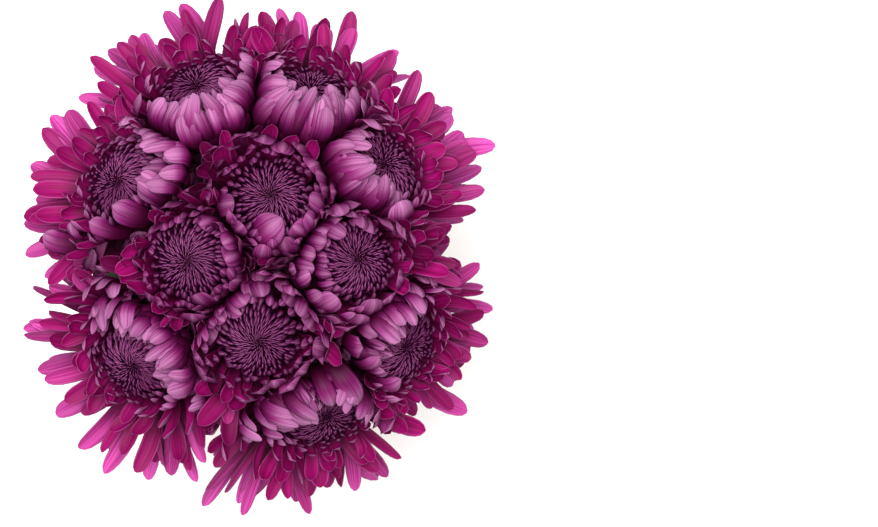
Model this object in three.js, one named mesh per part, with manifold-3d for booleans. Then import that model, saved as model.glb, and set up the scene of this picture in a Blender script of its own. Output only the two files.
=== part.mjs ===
// A potted chrysanthemum: a dome of eleven dense purple blooms on leafy stems in a plain clay pot.
// Millimetres, +Z up. The origin is the centre of the pot's foot, on the surface it stands on.
import * as THREE from "three";
import { mergeVertices } from "three/addons/utils/BufferGeometryUtils.js";
import Module from "manifold-3d";

const wasm = await Module();
wasm.setup();

// Pot and soil
const POT_HEIGHT = 108;
const POT_TOP_RADIUS = 62;
const POT_FOOT_RADIUS = 42;
const RIM_HEIGHT = 24;
const RIM_STEP = 3.5;
const POT_WALL = 5;
const FLOOR_THICKNESS = 7;
const POT_SIDES = 32;
const DRAIN_HOLES = 4;
const DRAIN_RADIUS = 5;
const DRAIN_RING = 24;
const SOIL_TOP = 95;
const SOIL_CRUMB = 1.6;
const SOIL_RINGS = 4;
const SOIL_SIDES = 24;
const REST_GAP = 0.3;

// The dome that the blooms face out of: each one looks straight away from its centre
const DOME_CENTRE = new THREE.Vector3(0, 0, 140);
const DISC_RADIUS = 92;
const HEAD_DEPTH = 24;
const FOOT_RADIUS = DISC_RADIUS - HEAD_DEPTH;
const WALL_GAP = 0.35;

// Each bloom's disc in plan, from the pot's axis, the turn of its spiral, and how far its petals reach
// against the usual
const BLOOMS = [
  { name: "bloom_01", x: -20.7, y: 65.5, turn: 10, vigour: 1.00 },
  { name: "bloom_02", x: 23.0, y: 62.8, turn: 75, vigour: 0.96 },
  { name: "bloom_03", x: -51.0, y: 28.9, turn: 130, vigour: 0.92 },
  { name: "bloom_04", x: 7.8, y: 23.0, turn: 200, vigour: 0.95 },
  { name: "bloom_05", x: 50.7, y: 34.3, turn: 265, vigour: 0.90 },
  { name: "bloom_06", x: -23.8, y: -1.6, turn: 320, vigour: 0.82 },
  { name: "bloom_07", x: 40.5, y: -1.6, turn: 40, vigour: 1.04 },
  { name: "bloom_08", x: -46.0, y: -41.7, turn: 95, vigour: 0.90 },
  { name: "bloom_09", x: 2.7, y: -32.7, turn: 160, vigour: 0.98 },
  { name: "bloom_10", x: 58.5, y: -35.5, turn: 225, vigour: 0.82 },
  { name: "bloom_11", x: 27.5, y: -62.0, turn: 290, vigour: 1.00 },
];

// Petals stand in rings of the same count, each ring turned half a step from the one under it.
// By ring: the reach of the tips when nothing presses on them and how far it varies, the height of the
// tips over the bloom's foot, the lean of root and tip from the bloom's axis in degrees, inwards below
// zero, half the petal's width, how high it stands when pressed, and how far it keeps off a neighbour
const RING_COUNT = 11;
const PETAL_RINGS = [
  { reach: 60, spread: 4, tip: 15, rootLean: 72, tipLean: 62, half: 7, stand: 34, clear: 1.0 },
  { reach: 38, spread: 3, tip: 25, rootLean: 58, tipLean: 5, half: 6, stand: 31, clear: 4.0 },
  { reach: 21, spread: 1, tip: 29, rootLean: 36, tipLean: -50, half: 4, stand: 29, clear: 6.8 },
];
const PETAL_STATIONS = [0.42, 0.78, 1];
const PETAL_WIDTHS = [0.92, 1.0, 0.5];
const SQUEEZED_TIP_LEAN = -34;
const TIP_RETREAT = 1.2;
const SIDE_GLANCE = 0.12;
const ARC_SHARE = 0.86;
const KEEL_DEPTH = 0.22;
const EDGE_LIFT = 0.16;
const LEAST_KEEL = 0.5;
const PETAL_GAP = 0.3;
// The three corners of a petal's root on its flat side of the core, as shares across it and up it
const ROOT_CORNERS = [
  [0.08, 0.72],
  [0.92, 0.72],
  [0.5, 0.28],
];

// What the petals grow from: a band of flat sides for each ring of petals, as [radius, height, ring],
// and the tight centre on top, as [radius, height, relief]
const CORE_BANDS = [
  [8.5, 0, 0],
  [11.2, 6.5, 0],
  [11.2, 7.5, 1],
  [11.8, 13, 1],
  [11.8, 14, 2],
  [11, 19, 2],
];
const CENTRE_RINGS = [
  [12.4, 21.6, 0.5],
  [10.6, 25, 1],
  [5.4, 26, 0.8],
];
const CENTRE_TOP = 25;
const CENTRE_CLEAR = 10;

// Stems and leaves
const BASE_STEM_RADIUS = 4;
const BASE_STEM_RING = 26;
const BASE_STEM_SINK = 22;
const HOLE_CLEARANCE = 0.5;
const FORK_HEIGHT = 10;
const SHOOT_RADIUS = 2.3;
const SHOOT_SIDES = 6;
const SHOOT_STEPS = 5;
const CALYX_RADIUS = 8.2;
const CALYX_DEPTH = 8;
const LEAF_LENGTH = 54;
const LEAF_HALF_WIDTH = 18;
const LEAF_THICKNESS = 0.8;
const LEAF_RISE = 24;
const LEAF_DROOP = 62;
const LEAF_FOLD = 0.22;
// Along the rib, then out from it, both as shares of the leaf: the edge runs in and out round its lobes
const LEAF_EDGE = [
  [0.0, 0.06],
  [0.12, 0.07],
  [0.3, 0.72],
  [0.4, 0.44],
  [0.6, 1.0],
  [0.71, 0.52],
  [0.88, 0.54],
  [1.0, 0.0],
];
// Along the rib where each edge point's own rib point lies, so that lobes point forward
const LEAF_RIB = [0.0, 0.11, 0.23, 0.35, 0.48, 0.62, 0.78, 1.0];

// The plants, each with the blooms that its shoots carry and the sector of the pot that it fills
const PLANTS = [
  { name: "plant_1", bearing: 90, from: 50, to: 129, blooms: [0, 1, 3] },
  { name: "plant_2", bearing: 184, from: 129, to: 240, blooms: [2, 5, 7] },
  { name: "plant_3", bearing: 276, from: 240, to: 312, blooms: [8, 10] },
  { name: "plant_4", bearing: 1, from: 312, to: 410, blooms: [4, 6, 9] },
];
// Leaves on an outer shoot: height over the soil, turn from the shoot's own bearing, and size against the
// usual. They lie under the blooms, so that none shows from above
const OUTER_LEAVES = [
  { height: 18, turn: -20, size: 1 },
  { height: 34, turn: 18, size: 0.92 },
  { height: 50, turn: -3, size: 0.72 },
];
const INNER_LEAVES = [{ height: 26, turn: 0, size: 0.6 }];
const INNER_BLOOM_RADIUS = 45;

const RAD = Math.PI / 180;

const clay = new THREE.MeshStandardMaterial({ color: 0xb0643f, roughness: 0.85, metalness: 0 });
const earth = new THREE.MeshStandardMaterial({ color: 0x33241a, roughness: 1, metalness: 0 });
const greenery = new THREE.MeshStandardMaterial({ color: 0x3f6130, roughness: 0.65, metalness: 0 });
const petal = new THREE.MeshStandardMaterial({ color: 0x93316f, roughness: 0.55, metalness: 0 });

// A repeatable number from 0 to 1 for a whole-number seed
function chance(seed) {
  const value = Math.sin(seed * 12.9898) * 43758.5453;
  return value - Math.floor(value);
}

function solidFrom(geometry) {
  const bare = geometry.index ? geometry.toNonIndexed() : geometry.clone();
  bare.deleteAttribute("normal");
  bare.deleteAttribute("uv");
  const merged = mergeVertices(bare, 1e-4);
  return new wasm.Manifold(
    new wasm.Mesh({
      numProp: 3,
      vertProperties: merged.attributes.position.array,
      triVerts: new Uint32Array(merged.index.array),
    }),
  );
}

// The largest body of a solid, so that loose scraps and sealed hollows are dropped
function mainBody(solid) {
  return solid.decompose().reduce((a, b) => (b.volume() > a.volume() ? b : a));
}

function meshFrom(solid, name, material) {
  const made = solid.getMesh();
  const geometry = new THREE.BufferGeometry();
  geometry.setAttribute("position", new THREE.BufferAttribute(new Float32Array(made.vertProperties), 3));
  geometry.setIndex(new THREE.BufferAttribute(new Uint32Array(made.triVerts), 1));
  geometry.computeVertexNormals();
  const mesh = new THREE.Mesh(geometry, material);
  mesh.name = name;
  return mesh;
}

function geometryFrom(points, triangles) {
  const geometry = new THREE.BufferGeometry();
  geometry.setFromPoints(points);
  geometry.setIndex(triangles);
  return geometry;
}

// The bloom's own frame: its foot on the inner sphere, and its face straight out from the dome's centre
function frameOf(bloom) {
  const rise = Math.sqrt(DISC_RADIUS ** 2 - bloom.x ** 2 - bloom.y ** 2);
  const axis = new THREE.Vector3(bloom.x, bloom.y, rise).normalize();
  const side = new THREE.Vector3(0, 1, 0).cross(axis).normalize();
  const up = axis.clone().cross(side);
  const foot = DOME_CENTRE.clone().addScaledVector(axis, FOOT_RADIUS);
  return { axis, side, up, foot };
}

const frames = BLOOMS.map(frameOf);

// The planes halfway to each other bloom, through the dome's centre, with normals pointing at the neighbour
const walls = frames.map((own, i) =>
  frames.filter((_, j) => j !== i).map((other) => other.axis.clone().sub(own.axis).normalize()),
);

function place(frame, radius, azimuth, height) {
  return frame.foot
    .clone()
    .addScaledVector(frame.side, radius * Math.cos(azimuth))
    .addScaledVector(frame.up, radius * Math.sin(azimuth))
    .addScaledVector(frame.axis, height);
}

// How far out from the bloom's axis a point at this azimuth and height may go
function roomAt(index, azimuth, height) {
  const frame = frames[index];
  const outward = place(frame, 1, azimuth, 0).sub(frame.foot);
  const start = frame.foot.clone().addScaledVector(frame.axis, height).sub(DOME_CENTRE);
  return walls[index].reduce((room, normal) => {
    const facing = outward.dot(normal);
    if (facing < 0.02) return room;
    return Math.min(room, (-WALL_GAP - start.dot(normal)) / facing);
  }, 1000);
}

// Presses a radius in under the room there is, and leaves the inner part as it grew
function pressed(radius, room) {
  const knee = 0.72 * room;
  if (radius <= knee) return radius;
  const soft = room - knee;
  return knee + soft * (1 - Math.exp(-(radius - knee) / soft));
}

// The azimuth of a corner of the core at the start of a petal's own flat side
function cornerAzimuth(index, layer, k) {
  return BLOOMS[index].turn * RAD + (2 * Math.PI * (k + (layer % 2) / 2)) / RING_COUNT;
}

const sideNumbers = Array.from({ length: RING_COUNT }, (_, k) => k);

const coreRings = frames.map((frame, index) =>
  CORE_BANDS.map(([radius, height, layer]) =>
    sideNumbers.map((k) => place(frame, radius, cornerAzimuth(index, layer, k), height)),
  ),
);

// The petal's root: three points on the flat side of the core that is its own
function petalRoot(index, layer, k) {
  const [low, high] = [coreRings[index][2 * layer], coreRings[index][2 * layer + 1]];
  const next = (k + 1) % RING_COUNT;
  return ROOT_CORNERS.map(([across, up]) => {
    const below = low[k].clone().lerp(low[next], across);
    return below.lerp(high[k].clone().lerp(high[next], across), up);
  });
}

// The centre line of a petal in its own plane, as a cubic from the root to the tip
function petalLine(index, azimuth, layer, seed) {
  const ring = PETAL_RINGS[layer];
  const [low, high] = [CORE_BANDS[2 * layer], CORE_BANDS[2 * layer + 1]];
  const root = new THREE.Vector2((low[0] + high[0]) / 2, (low[1] + high[1]) / 2);
  const grown = new THREE.Vector2(
    BLOOMS[index].vigour * (ring.reach + ring.spread * (2 * chance(seed + 0.1) - 1)),
    ring.tip + 3 * (chance(seed) - 0.5),
  );
  const room = (height) => {
    const glances = [-SIDE_GLANCE, 0, SIDE_GLANCE].map((turn) => roomAt(index, azimuth + turn, height));
    return Math.min(...glances) - ring.clear;
  };
  const out = pressed(grown.x, Math.max(room(ring.stand), root.x));
  const squeeze = out < 0.8 * grown.x ? Math.min(1, 2.5 * (0.8 - out / grown.x)) : 0;
  const chord = grown.distanceTo(root);
  const stand = root.y + Math.sqrt(Math.max(chord ** 2 - (out - root.x) ** 2, 0));
  const height = Math.min(stand, Math.max(grown.y, ring.stand + 2 * (chance(seed + 0.7) - 0.5)));
  const tip = new THREE.Vector2(out, THREE.MathUtils.lerp(grown.y, height, squeeze));
  tip.x = Math.min(tip.x, room(tip.y)) - TIP_RETREAT * squeeze;
  const rootLean = THREE.MathUtils.lerp(ring.rootLean, 0.72 * ring.rootLean, squeeze) * RAD;
  const grownLean = ring.tipLean + 16 * (chance(seed + 0.3) - 0.5);
  const tipLean = THREE.MathUtils.lerp(grownLean, SQUEEZED_TIP_LEAN, squeeze) * RAD;
  const span = tip.distanceTo(root);
  const rootWay = new THREE.Vector2(Math.sin(rootLean), Math.cos(rootLean));
  const tipWay = new THREE.Vector2(Math.sin(tipLean), Math.cos(tipLean));
  const first = root.clone().addScaledVector(rootWay, 0.42 * span);
  const second = tip.clone().addScaledVector(tipWay, -0.3 * span);
  first.x = Math.min(first.x, room(first.y));
  second.x = Math.min(second.x, room(second.y));
  return new THREE.CubicBezierCurve(root, first, second, tip);
}

// One petal as a keeled blade: three corners a station, and a blunt edge at the tip
function petalPoints(index, layer, k, inset) {
  const frame = frames[index];
  const ring = PETAL_RINGS[layer];
  const azimuth = cornerAzimuth(index, layer, k + 0.5);
  const line = petalLine(index, azimuth, layer, 100 * index + 20 * layer + k);
  const across = place(frame, 1, azimuth + Math.PI / 2, 0).sub(frame.foot);
  const points = petalRoot(index, layer, k);
  PETAL_STATIONS.forEach((s, i) => {
    const at = line.getPoint(s);
    const way = line.getTangent(s);
    const radius = at.x * (1 - inset * s);
    const centre = place(frame, radius, azimuth, at.y);
    const back = place(frame, way.y, azimuth, -way.x).sub(frame.foot);
    const width = Math.min(ring.half * PETAL_WIDTHS[i], (ARC_SHARE * Math.PI * radius) / RING_COUNT);
    const edge = centre.clone().addScaledVector(back, -EDGE_LIFT * width);
    points.push(edge.clone().addScaledVector(across, -width), edge.clone().addScaledVector(across, width));
    const keel = Math.max(KEEL_DEPTH * width, LEAST_KEEL);
    if (s < 1) points.push(centre.addScaledVector(back, keel));
  });
  return points;
}

// The petal's sides, without the root's own face
const PETAL_SIDES = (() => {
  const triangles = [];
  const last = PETAL_STATIONS.length - 1;
  for (let i = 0; i < last; i++) {
    const [l, r, k] = [3 * i, 3 * i + 1, 3 * i + 2];
    const [ln, rn, kn] = [l + 3, r + 3, k + 3];
    triangles.push(l, ln, r, r, ln, rn);
    triangles.push(r, rn, k, k, rn, kn);
    triangles.push(k, kn, l, l, kn, ln);
  }
  const [l, r, k] = [3 * last, 3 * last + 1, 3 * last + 2];
  const [ln, rn] = [l + 3, r + 3];
  triangles.push(l, ln, r, r, ln, rn);
  triangles.push(r, rn, k, k, rn, ln, k, ln, l);
  return triangles;
})();

function petalSolid(points) {
  return solidFrom(geometryFrom(points, [0, 1, 2, ...PETAL_SIDES]));
}

function isClear(index, points) {
  return points.every((point) => {
    const from = point.clone().sub(DOME_CENTRE);
    return walls[index].every((normal) => from.dot(normal) < -WALL_GAP);
  });
}

// The petal, drawn in towards the bloom's axis until it is clear of its neighbours
function clearPetal(index, layer, k, core, placed) {
  for (let inset = 0; inset < 0.5; inset += 0.04) {
    const points = petalPoints(index, layer, k, inset);
    if (!isClear(index, points)) continue;
    const solid = petalSolid(points);
    if (core.intersect(solid).volume() > 0.01) continue;
    if (placed.every((other) => other.minGap(solid, 1) >= PETAL_GAP)) return { points, solid };
  }
  return null;
}

// A flat side of the core between its four corners, with the petal's root left open if there is one
function coreSide([a, b, c, d], root) {
  if (root === null) return [a, b, d, b, c, d];
  const [l, r, k] = [root, root + 1, root + 2];
  return [a, b, k, b, r, k, b, c, r, c, l, r, c, d, l, d, a, l, a, k, l];
}

// The tight centre: rings of florets that stand out in turn, twice as many as the core has sides
function centreTriangles(index, points) {
  const frame = frames[index];
  const sides = 2 * RING_COUNT;
  const start = points.length;
  CENTRE_RINGS.forEach(([radius, height, relief], ring) => {
    for (let k = 0; k < sides; k++) {
      const azimuth = cornerAzimuth(index, 0, (k + ring) / 2);
      const room = roomAt(index, azimuth, height) - CENTRE_CLEAR;
      points.push(place(frame, Math.min(radius, room), azimuth, height + relief * (k % 2 ? 1 : -1)));
    }
  });
  const top = points.push(place(frame, 0, 0, CENTRE_TOP)) - 1;
  const topBand = (CORE_BANDS.length - 1) * RING_COUNT;
  const triangles = [];
  for (let k = 0; k < RING_COUNT; k++) {
    const [a, b] = [topBand + k, topBand + ((k + 1) % RING_COUNT)];
    const [c, d, e] = [start + 2 * k, start + 2 * k + 1, start + ((2 * k + 2) % sides)];
    triangles.push(a, d, c, a, b, d, b, e, d);
  }
  const last = start + (CENTRE_RINGS.length - 1) * sides;
  for (let k = 0; k < sides; k++) {
    const next = (k + 1) % sides;
    for (let ring = start; ring < last; ring += sides) {
      const [a, b] = [ring + k, ring + next];
      triangles.push(a, b, a + sides, b, b + sides, a + sides);
    }
    triangles.push(last + k, last + next, top);
  }
  return triangles;
}

// One skin over the core, the petal made for each of its flat sides, and the tight centre on top
function skinOver(index, petalOn) {
  const points = coreRings[index].flat();
  const triangles = [];
  CORE_BANDS.slice(1).forEach((_, band) => {
    for (let k = 0; k < RING_COUNT; k++) {
      const [a, b] = [band * RING_COUNT + k, band * RING_COUNT + ((k + 1) % RING_COUNT)];
      const petalMade = band % 2 ? null : petalOn(band / 2, k);
      const root = petalMade ? points.length : null;
      if (petalMade) {
        points.push(...petalMade.points);
        triangles.push(...PETAL_SIDES.map((corner) => corner + root));
      }
      triangles.push(...coreSide([a, b, b + RING_COUNT, a + RING_COUNT], root));
    }
  });
  triangles.push(...centreTriangles(index, points));
  const foot = points.push(frames[index].foot.clone()) - 1;
  for (let k = 0; k < RING_COUNT; k++) triangles.push(foot, (k + 1) % RING_COUNT, k);
  return solidFrom(geometryFrom(points, triangles));
}

function bloomSolid(index) {
  const core = skinOver(index, () => null);
  const placed = [];
  return skinOver(index, (layer, k) => {
    const made = clearPetal(index, layer, k, core, placed);
    if (made) placed.push(made.solid);
    return made;
  });
}

function circle(radius, sides) {
  const shape = new THREE.Shape();
  for (let i = 0; i < sides; i++) {
    const turn = (2 * Math.PI * i) / sides;
    shape[i ? "lineTo" : "moveTo"](radius * Math.cos(turn), radius * Math.sin(turn));
  }
  shape.closePath();
  return shape;
}

function upright(radius, sides, low, high, x, y) {
  const geometry = new THREE.CylinderGeometry(radius, radius, high - low, sides);
  geometry.rotateX(Math.PI / 2);
  return solidFrom(geometry.translate(x, y, (low + high) / 2));
}

function lathe(profile, sides) {
  const points = profile.map(([radius, height]) => new THREE.Vector2(radius, height));
  return new THREE.LatheGeometry(points, sides).rotateX(Math.PI / 2);
}

function stemFoot(plant) {
  const turn = plant.bearing * RAD;
  return new THREE.Vector3(BASE_STEM_RING * Math.cos(turn), BASE_STEM_RING * Math.sin(turn), SOIL_TOP);
}

// A shoot's line from the fork of its plant up to the back of its bloom
function shootLine(plant, frame) {
  const fork = stemFoot(plant).add(new THREE.Vector3(0, 0, FORK_HEIGHT - 4));
  const end = frame.foot.clone().addScaledVector(frame.axis, -REST_GAP - CALYX_DEPTH / 2);
  const rise = end.z - fork.z;
  return new THREE.CubicBezierCurve3(
    fork,
    fork.clone().add(new THREE.Vector3(0, 0, 0.35 * rise)),
    end.clone().addScaledVector(frame.axis, -0.42 * rise),
    end,
  );
}

function shootSolid(line) {
  const geometry = new THREE.ExtrudeGeometry(circle(SHOOT_RADIUS, SHOOT_SIDES), {
    steps: SHOOT_STEPS,
    bevelEnabled: false,
    extrudePath: line,
  });
  return solidFrom(geometry);
}

// The green cup under a bloom, from the shoot out to the petals' foot
function calyxSolid(frame) {
  const profile = [
    [0, -CALYX_DEPTH],
    [SHOOT_RADIUS, -CALYX_DEPTH],
    [0.8 * CALYX_RADIUS, -0.6 * CALYX_DEPTH],
    [CALYX_RADIUS, -REST_GAP],
    [0, -REST_GAP],
  ];
  const geometry = lathe(profile, 9);
  const basis = new THREE.Matrix4().makeBasis(frame.side, frame.up, frame.axis).setPosition(frame.foot);
  return solidFrom(geometry.applyMatrix4(basis));
}

// The points of a lobed leaf: for each pair of edge points, the rib, the left edge and the right edge
function leafPoints(from, bearing, size) {
  const outward = new THREE.Vector3(Math.cos(bearing * RAD), Math.sin(bearing * RAD), 0);
  const across = new THREE.Vector3(-outward.y, outward.x, 0);
  const up = new THREE.Vector3(0, 0, 1);
  const length = LEAF_LENGTH * size;
  const at = (share) => {
    const angle = (LEAF_RISE - 0.5 * LEAF_DROOP * share) * RAD;
    return from
      .clone()
      .addScaledVector(outward, length * share * Math.cos(angle))
      .addScaledVector(up, length * share * Math.sin(angle));
  };
  const rows = LEAF_EDGE.map(([edge, width], i) => {
    const out = width * LEAF_HALF_WIDTH * size;
    const rib = at(LEAF_RIB[i]);
    const base = at(edge).addScaledVector(up, LEAF_FOLD * out);
    return [rib, base.clone().addScaledVector(across, out), base.clone().addScaledVector(across, -out)];
  });
  return rows;
}

// A lobed blade of even thickness: the same triangles on both faces, and a rim between them
function leafSolid(rows, thickness) {
  const down = new THREE.Vector3(0, 0, -thickness);
  const tops = rows.slice(0, -1).flat();
  tops.push(rows[rows.length - 1][0]);
  const count = tops.length;
  const points = [...tops, ...tops.map((point) => point.clone().add(down))];
  const faces = [];
  const spans = rows.length - 1;
  for (let i = 0; i < spans; i++) {
    const [rib, left, right] = [3 * i, 3 * i + 1, 3 * i + 2];
    if (i === spans - 1) {
      faces.push([rib, count - 1, left], [rib, right, count - 1]);
    } else {
      const [nextRib, nextLeft, nextRight] = [rib + 3, left + 3, right + 3];
      faces.push([rib, nextRib, left], [left, nextRib, nextLeft]);
      faces.push([rib, right, nextRib], [right, nextRight, nextRib]);
    }
  }
  const triangles = faces.flatMap(([a, b, c]) => [a, b, c, c + count, b + count, a + count]);
  const rim = [];
  for (let i = 0; i < spans; i++) rim.push(3 * i + 1);
  rim.push(count - 1);
  for (let i = spans - 1; i >= 0; i--) rim.push(3 * i + 2);
  rim.push(0);
  rim.forEach((a, i) => {
    const b = rim[(i + 1) % rim.length];
    triangles.push(a, b, a + count, b, b + count, a + count);
  });
  return solidFrom(geometryFrom(points, triangles));
}

// How far inside the plant's own sector a point lies
function insideSector(plant, point) {
  const from = point.x * Math.sin(-plant.from * RAD) + point.y * Math.cos(plant.from * RAD);
  const to = point.x * Math.sin(plant.to * RAD) - point.y * Math.cos(plant.to * RAD);
  return Math.min(from, to);
}

// A leaf turned towards the middle of its plant's sector until it is clear of the next plant
function leafInSector(plant, from, bearing, size) {
  const middle = (plant.from + plant.to) / 2;
  for (let share = 0; share <= 1; share += 0.05) {
    const rows = leafPoints(from, THREE.MathUtils.lerp(bearing, middle, share), size);
    const inside = rows.flat().every((point) => insideSector(plant, point) > WALL_GAP);
    if (inside) return leafSolid(rows, LEAF_THICKNESS);
  }
  return null;
}

function leavesOn(plant, index, line) {
  const bloom = BLOOMS[index];
  const inner = Math.hypot(bloom.x, bloom.y) < INNER_BLOOM_RADIUS;
  const bearing = Math.atan2(bloom.y, bloom.x) / RAD;
  const near = bearing + 360 * Math.round((plant.bearing - bearing) / 360);
  return (inner ? INNER_LEAVES : OUTER_LEAVES).map((leaf, i) => {
    const rise = line.v3.z - line.v0.z;
    const from = line.getPoint(leaf.height / rise);
    const size = leaf.size * (0.9 + 0.2 * chance(10 * index + i));
    return leafInSector(plant, from, near + leaf.turn, size);
  });
}

function plantSolid(plant) {
  const foot = stemFoot(plant);
  const low = SOIL_TOP - BASE_STEM_SINK;
  const solids = [upright(BASE_STEM_RADIUS, 8, low, SOIL_TOP + FORK_HEIGHT, foot.x, foot.y)];
  plant.blooms.forEach((index) => {
    const line = shootLine(plant, frames[index]);
    solids.push(shootSolid(line), calyxSolid(frames[index]));
    solids.push(...leavesOn(plant, index, line).filter((leaf) => leaf));
  });
  return mainBody(wasm.Manifold.union(solids));
}

function potRadiusAt(height) {
  const body = POT_TOP_RADIUS - RIM_STEP;
  return POT_FOOT_RADIUS + ((body - POT_FOOT_RADIUS) * height) / POT_HEIGHT;
}

function potSolid() {
  const rimFoot = POT_HEIGHT - RIM_HEIGHT;
  const profile = [
    [0, 0],
    [POT_FOOT_RADIUS, 0],
    [potRadiusAt(rimFoot), rimFoot],
    [potRadiusAt(rimFoot) + RIM_STEP, rimFoot + 2],
    [POT_TOP_RADIUS, POT_HEIGHT - 2],
    [POT_TOP_RADIUS - 2, POT_HEIGHT],
    [POT_TOP_RADIUS - RIM_STEP - POT_WALL + 2, POT_HEIGHT],
    [potRadiusAt(FLOOR_THICKNESS) - POT_WALL, FLOOR_THICKNESS],
    [0, FLOOR_THICKNESS],
  ];
  const body = solidFrom(lathe(profile, POT_SIDES));
  const drains = [];
  for (let i = 0; i < DRAIN_HOLES; i++) {
    const turn = (2 * Math.PI * (i + 0.5)) / DRAIN_HOLES;
    const [x, y] = [DRAIN_RING * Math.cos(turn), DRAIN_RING * Math.sin(turn)];
    drains.push(upright(DRAIN_RADIUS, 8, -1, FLOOR_THICKNESS + 1, x, y));
  }
  return drains.reduce((pot, drain) => pot.subtract(drain), body);
}

// The inside of the pot at a height, less the gap that the soil keeps to it
function soilRadiusAt(height) {
  const low = potRadiusAt(FLOOR_THICKNESS) - POT_WALL;
  const high = POT_TOP_RADIUS - RIM_STEP - POT_WALL + 2;
  const share = (height - FLOOR_THICKNESS) / (POT_HEIGHT - FLOOR_THICKNESS);
  return (low + share * (high - low)) * Math.cos(Math.PI / POT_SIDES) - REST_GAP - 0.2;
}

// The soil: a plug of the pot's inner shape with a crumbly top, and a plain hole for each stem
function soilSolid() {
  const low = FLOOR_THICKNESS + REST_GAP;
  const points = [];
  const ring = (radius, height, rough) => {
    for (let k = 0; k < SOIL_SIDES; k++) {
      const turn = (2 * Math.PI * k) / SOIL_SIDES;
      const crumb = rough * (chance(points.length + 7) - 0.5);
      points.push(new THREE.Vector3(radius * Math.cos(turn), radius * Math.sin(turn), height + crumb));
    }
  };
  ring(soilRadiusAt(low), low, 0);
  ring(soilRadiusAt(SOIL_TOP - 2), SOIL_TOP - 2, 0);
  for (let i = 1; i <= SOIL_RINGS; i++) {
    ring(soilRadiusAt(SOIL_TOP - 2) * (1 - i / (SOIL_RINGS + 1)), SOIL_TOP, SOIL_CRUMB);
  }
  const bottom = points.push(new THREE.Vector3(0, 0, low)) - 1;
  const top = points.push(new THREE.Vector3(0, 0, SOIL_TOP)) - 1;
  const triangles = [];
  for (let k = 0; k < SOIL_SIDES; k++) {
    const next = (k + 1) % SOIL_SIDES;
    triangles.push(bottom, next, k);
    for (let i = 0; i <= SOIL_RINGS; i++) {
      const [a, b] = [i * SOIL_SIDES + k, i * SOIL_SIDES + next];
      const [c, d] = [a + SOIL_SIDES, b + SOIL_SIDES];
      triangles.push(a, b, c, b, d, c);
    }
    const rim = (SOIL_RINGS + 1) * SOIL_SIDES;
    triangles.push(rim + k, rim + next, top);
  }
  const holes = PLANTS.map((plant) => {
    const foot = stemFoot(plant);
    const deep = SOIL_TOP - BASE_STEM_SINK - REST_GAP;
    return upright(BASE_STEM_RADIUS + HOLE_CLEARANCE, 8, deep, SOIL_TOP + 10, foot.x, foot.y);
  });
  return holes.reduce((soil, hole) => soil.subtract(hole), solidFrom(geometryFrom(points, triangles)));
}

const chrysanthemum = new THREE.Group();
chrysanthemum.add(meshFrom(potSolid(), "pot", clay));
chrysanthemum.add(meshFrom(soilSolid(), "soil", earth));
PLANTS.forEach((plant) => chrysanthemum.add(meshFrom(plantSolid(plant), plant.name, greenery)));
BLOOMS.forEach((bloom, index) => chrysanthemum.add(meshFrom(bloomSolid(index), bloom.name, petal)));

export default chrysanthemum;
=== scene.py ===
# %% [markdown]
# # A potted chrysanthemum
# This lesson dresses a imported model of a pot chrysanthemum: eleven double blooms in a dome, four leafy
# plants, soil and a clay pot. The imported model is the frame. Every piece made here goes where its node is,
# in metres, and stands for that node.

# %% Load the frame
import math
from types import SimpleNamespace

import bpy
import numpy as np
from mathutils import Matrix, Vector


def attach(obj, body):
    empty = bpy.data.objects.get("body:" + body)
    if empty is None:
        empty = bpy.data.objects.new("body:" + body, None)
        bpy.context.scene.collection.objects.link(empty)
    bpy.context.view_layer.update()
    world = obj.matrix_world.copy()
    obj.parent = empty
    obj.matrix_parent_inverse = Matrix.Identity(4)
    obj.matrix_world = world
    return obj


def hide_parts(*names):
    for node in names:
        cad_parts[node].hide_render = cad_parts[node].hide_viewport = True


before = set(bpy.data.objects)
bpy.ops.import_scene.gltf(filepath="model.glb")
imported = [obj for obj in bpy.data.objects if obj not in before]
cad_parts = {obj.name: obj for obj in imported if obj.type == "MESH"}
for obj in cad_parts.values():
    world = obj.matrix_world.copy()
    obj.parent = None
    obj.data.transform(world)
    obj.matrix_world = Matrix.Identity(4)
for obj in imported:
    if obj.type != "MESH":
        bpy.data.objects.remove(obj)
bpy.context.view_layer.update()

MM = 0.001

# %% [markdown]
# ## The rule of the dome
# Every bloom looks straight away from the centre of the dome. Its own frame is its foot on an inner sphere,
# its axis outwards, and two directions across. The same numbers as in the solids are used, so that each
# fine bloom fills the space of its plain one. They could be measured from the frame, but a rule with names
# is easier to follow.

# %% The frames of the blooms
DOME_CENTRE = np.array([0.0, 0.0, 140.0])
DISC_RADIUS = 92.0
HEAD_DEPTH = 24.0
WALL_GAP = 0.35
BLOOMS = {
    # disc in plan, mm, turn of the spiral, how far its straps grow, how far it is still closed
    "bloom_01": (-20.7, 65.5, 10, 1.00, 0.38),
    "bloom_02": (23.0, 62.8, 75, 0.98, 0.62),
    "bloom_03": (-51.0, 28.9, 130, 0.95, 0.10),
    "bloom_04": (7.8, 23.0, 200, 0.95, 0.00),
    "bloom_05": (50.7, 34.3, 265, 0.90, 0.25),
    "bloom_06": (-23.8, -1.6, 320, 0.82, 0.00),
    "bloom_07": (40.5, -1.6, 40, 0.97, 0.10),
    "bloom_08": (-46.0, -41.7, 95, 0.96, 0.10),
    "bloom_09": (2.7, -32.7, 160, 0.98, 0.00),
    "bloom_10": (58.5, -35.5, 225, 0.84, 0.15),
    "bloom_11": (27.5, -62.0, 290, 0.97, 0.50),
}


def unit(vectors):
    return vectors / np.linalg.norm(vectors, axis=-1, keepdims=True)


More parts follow.
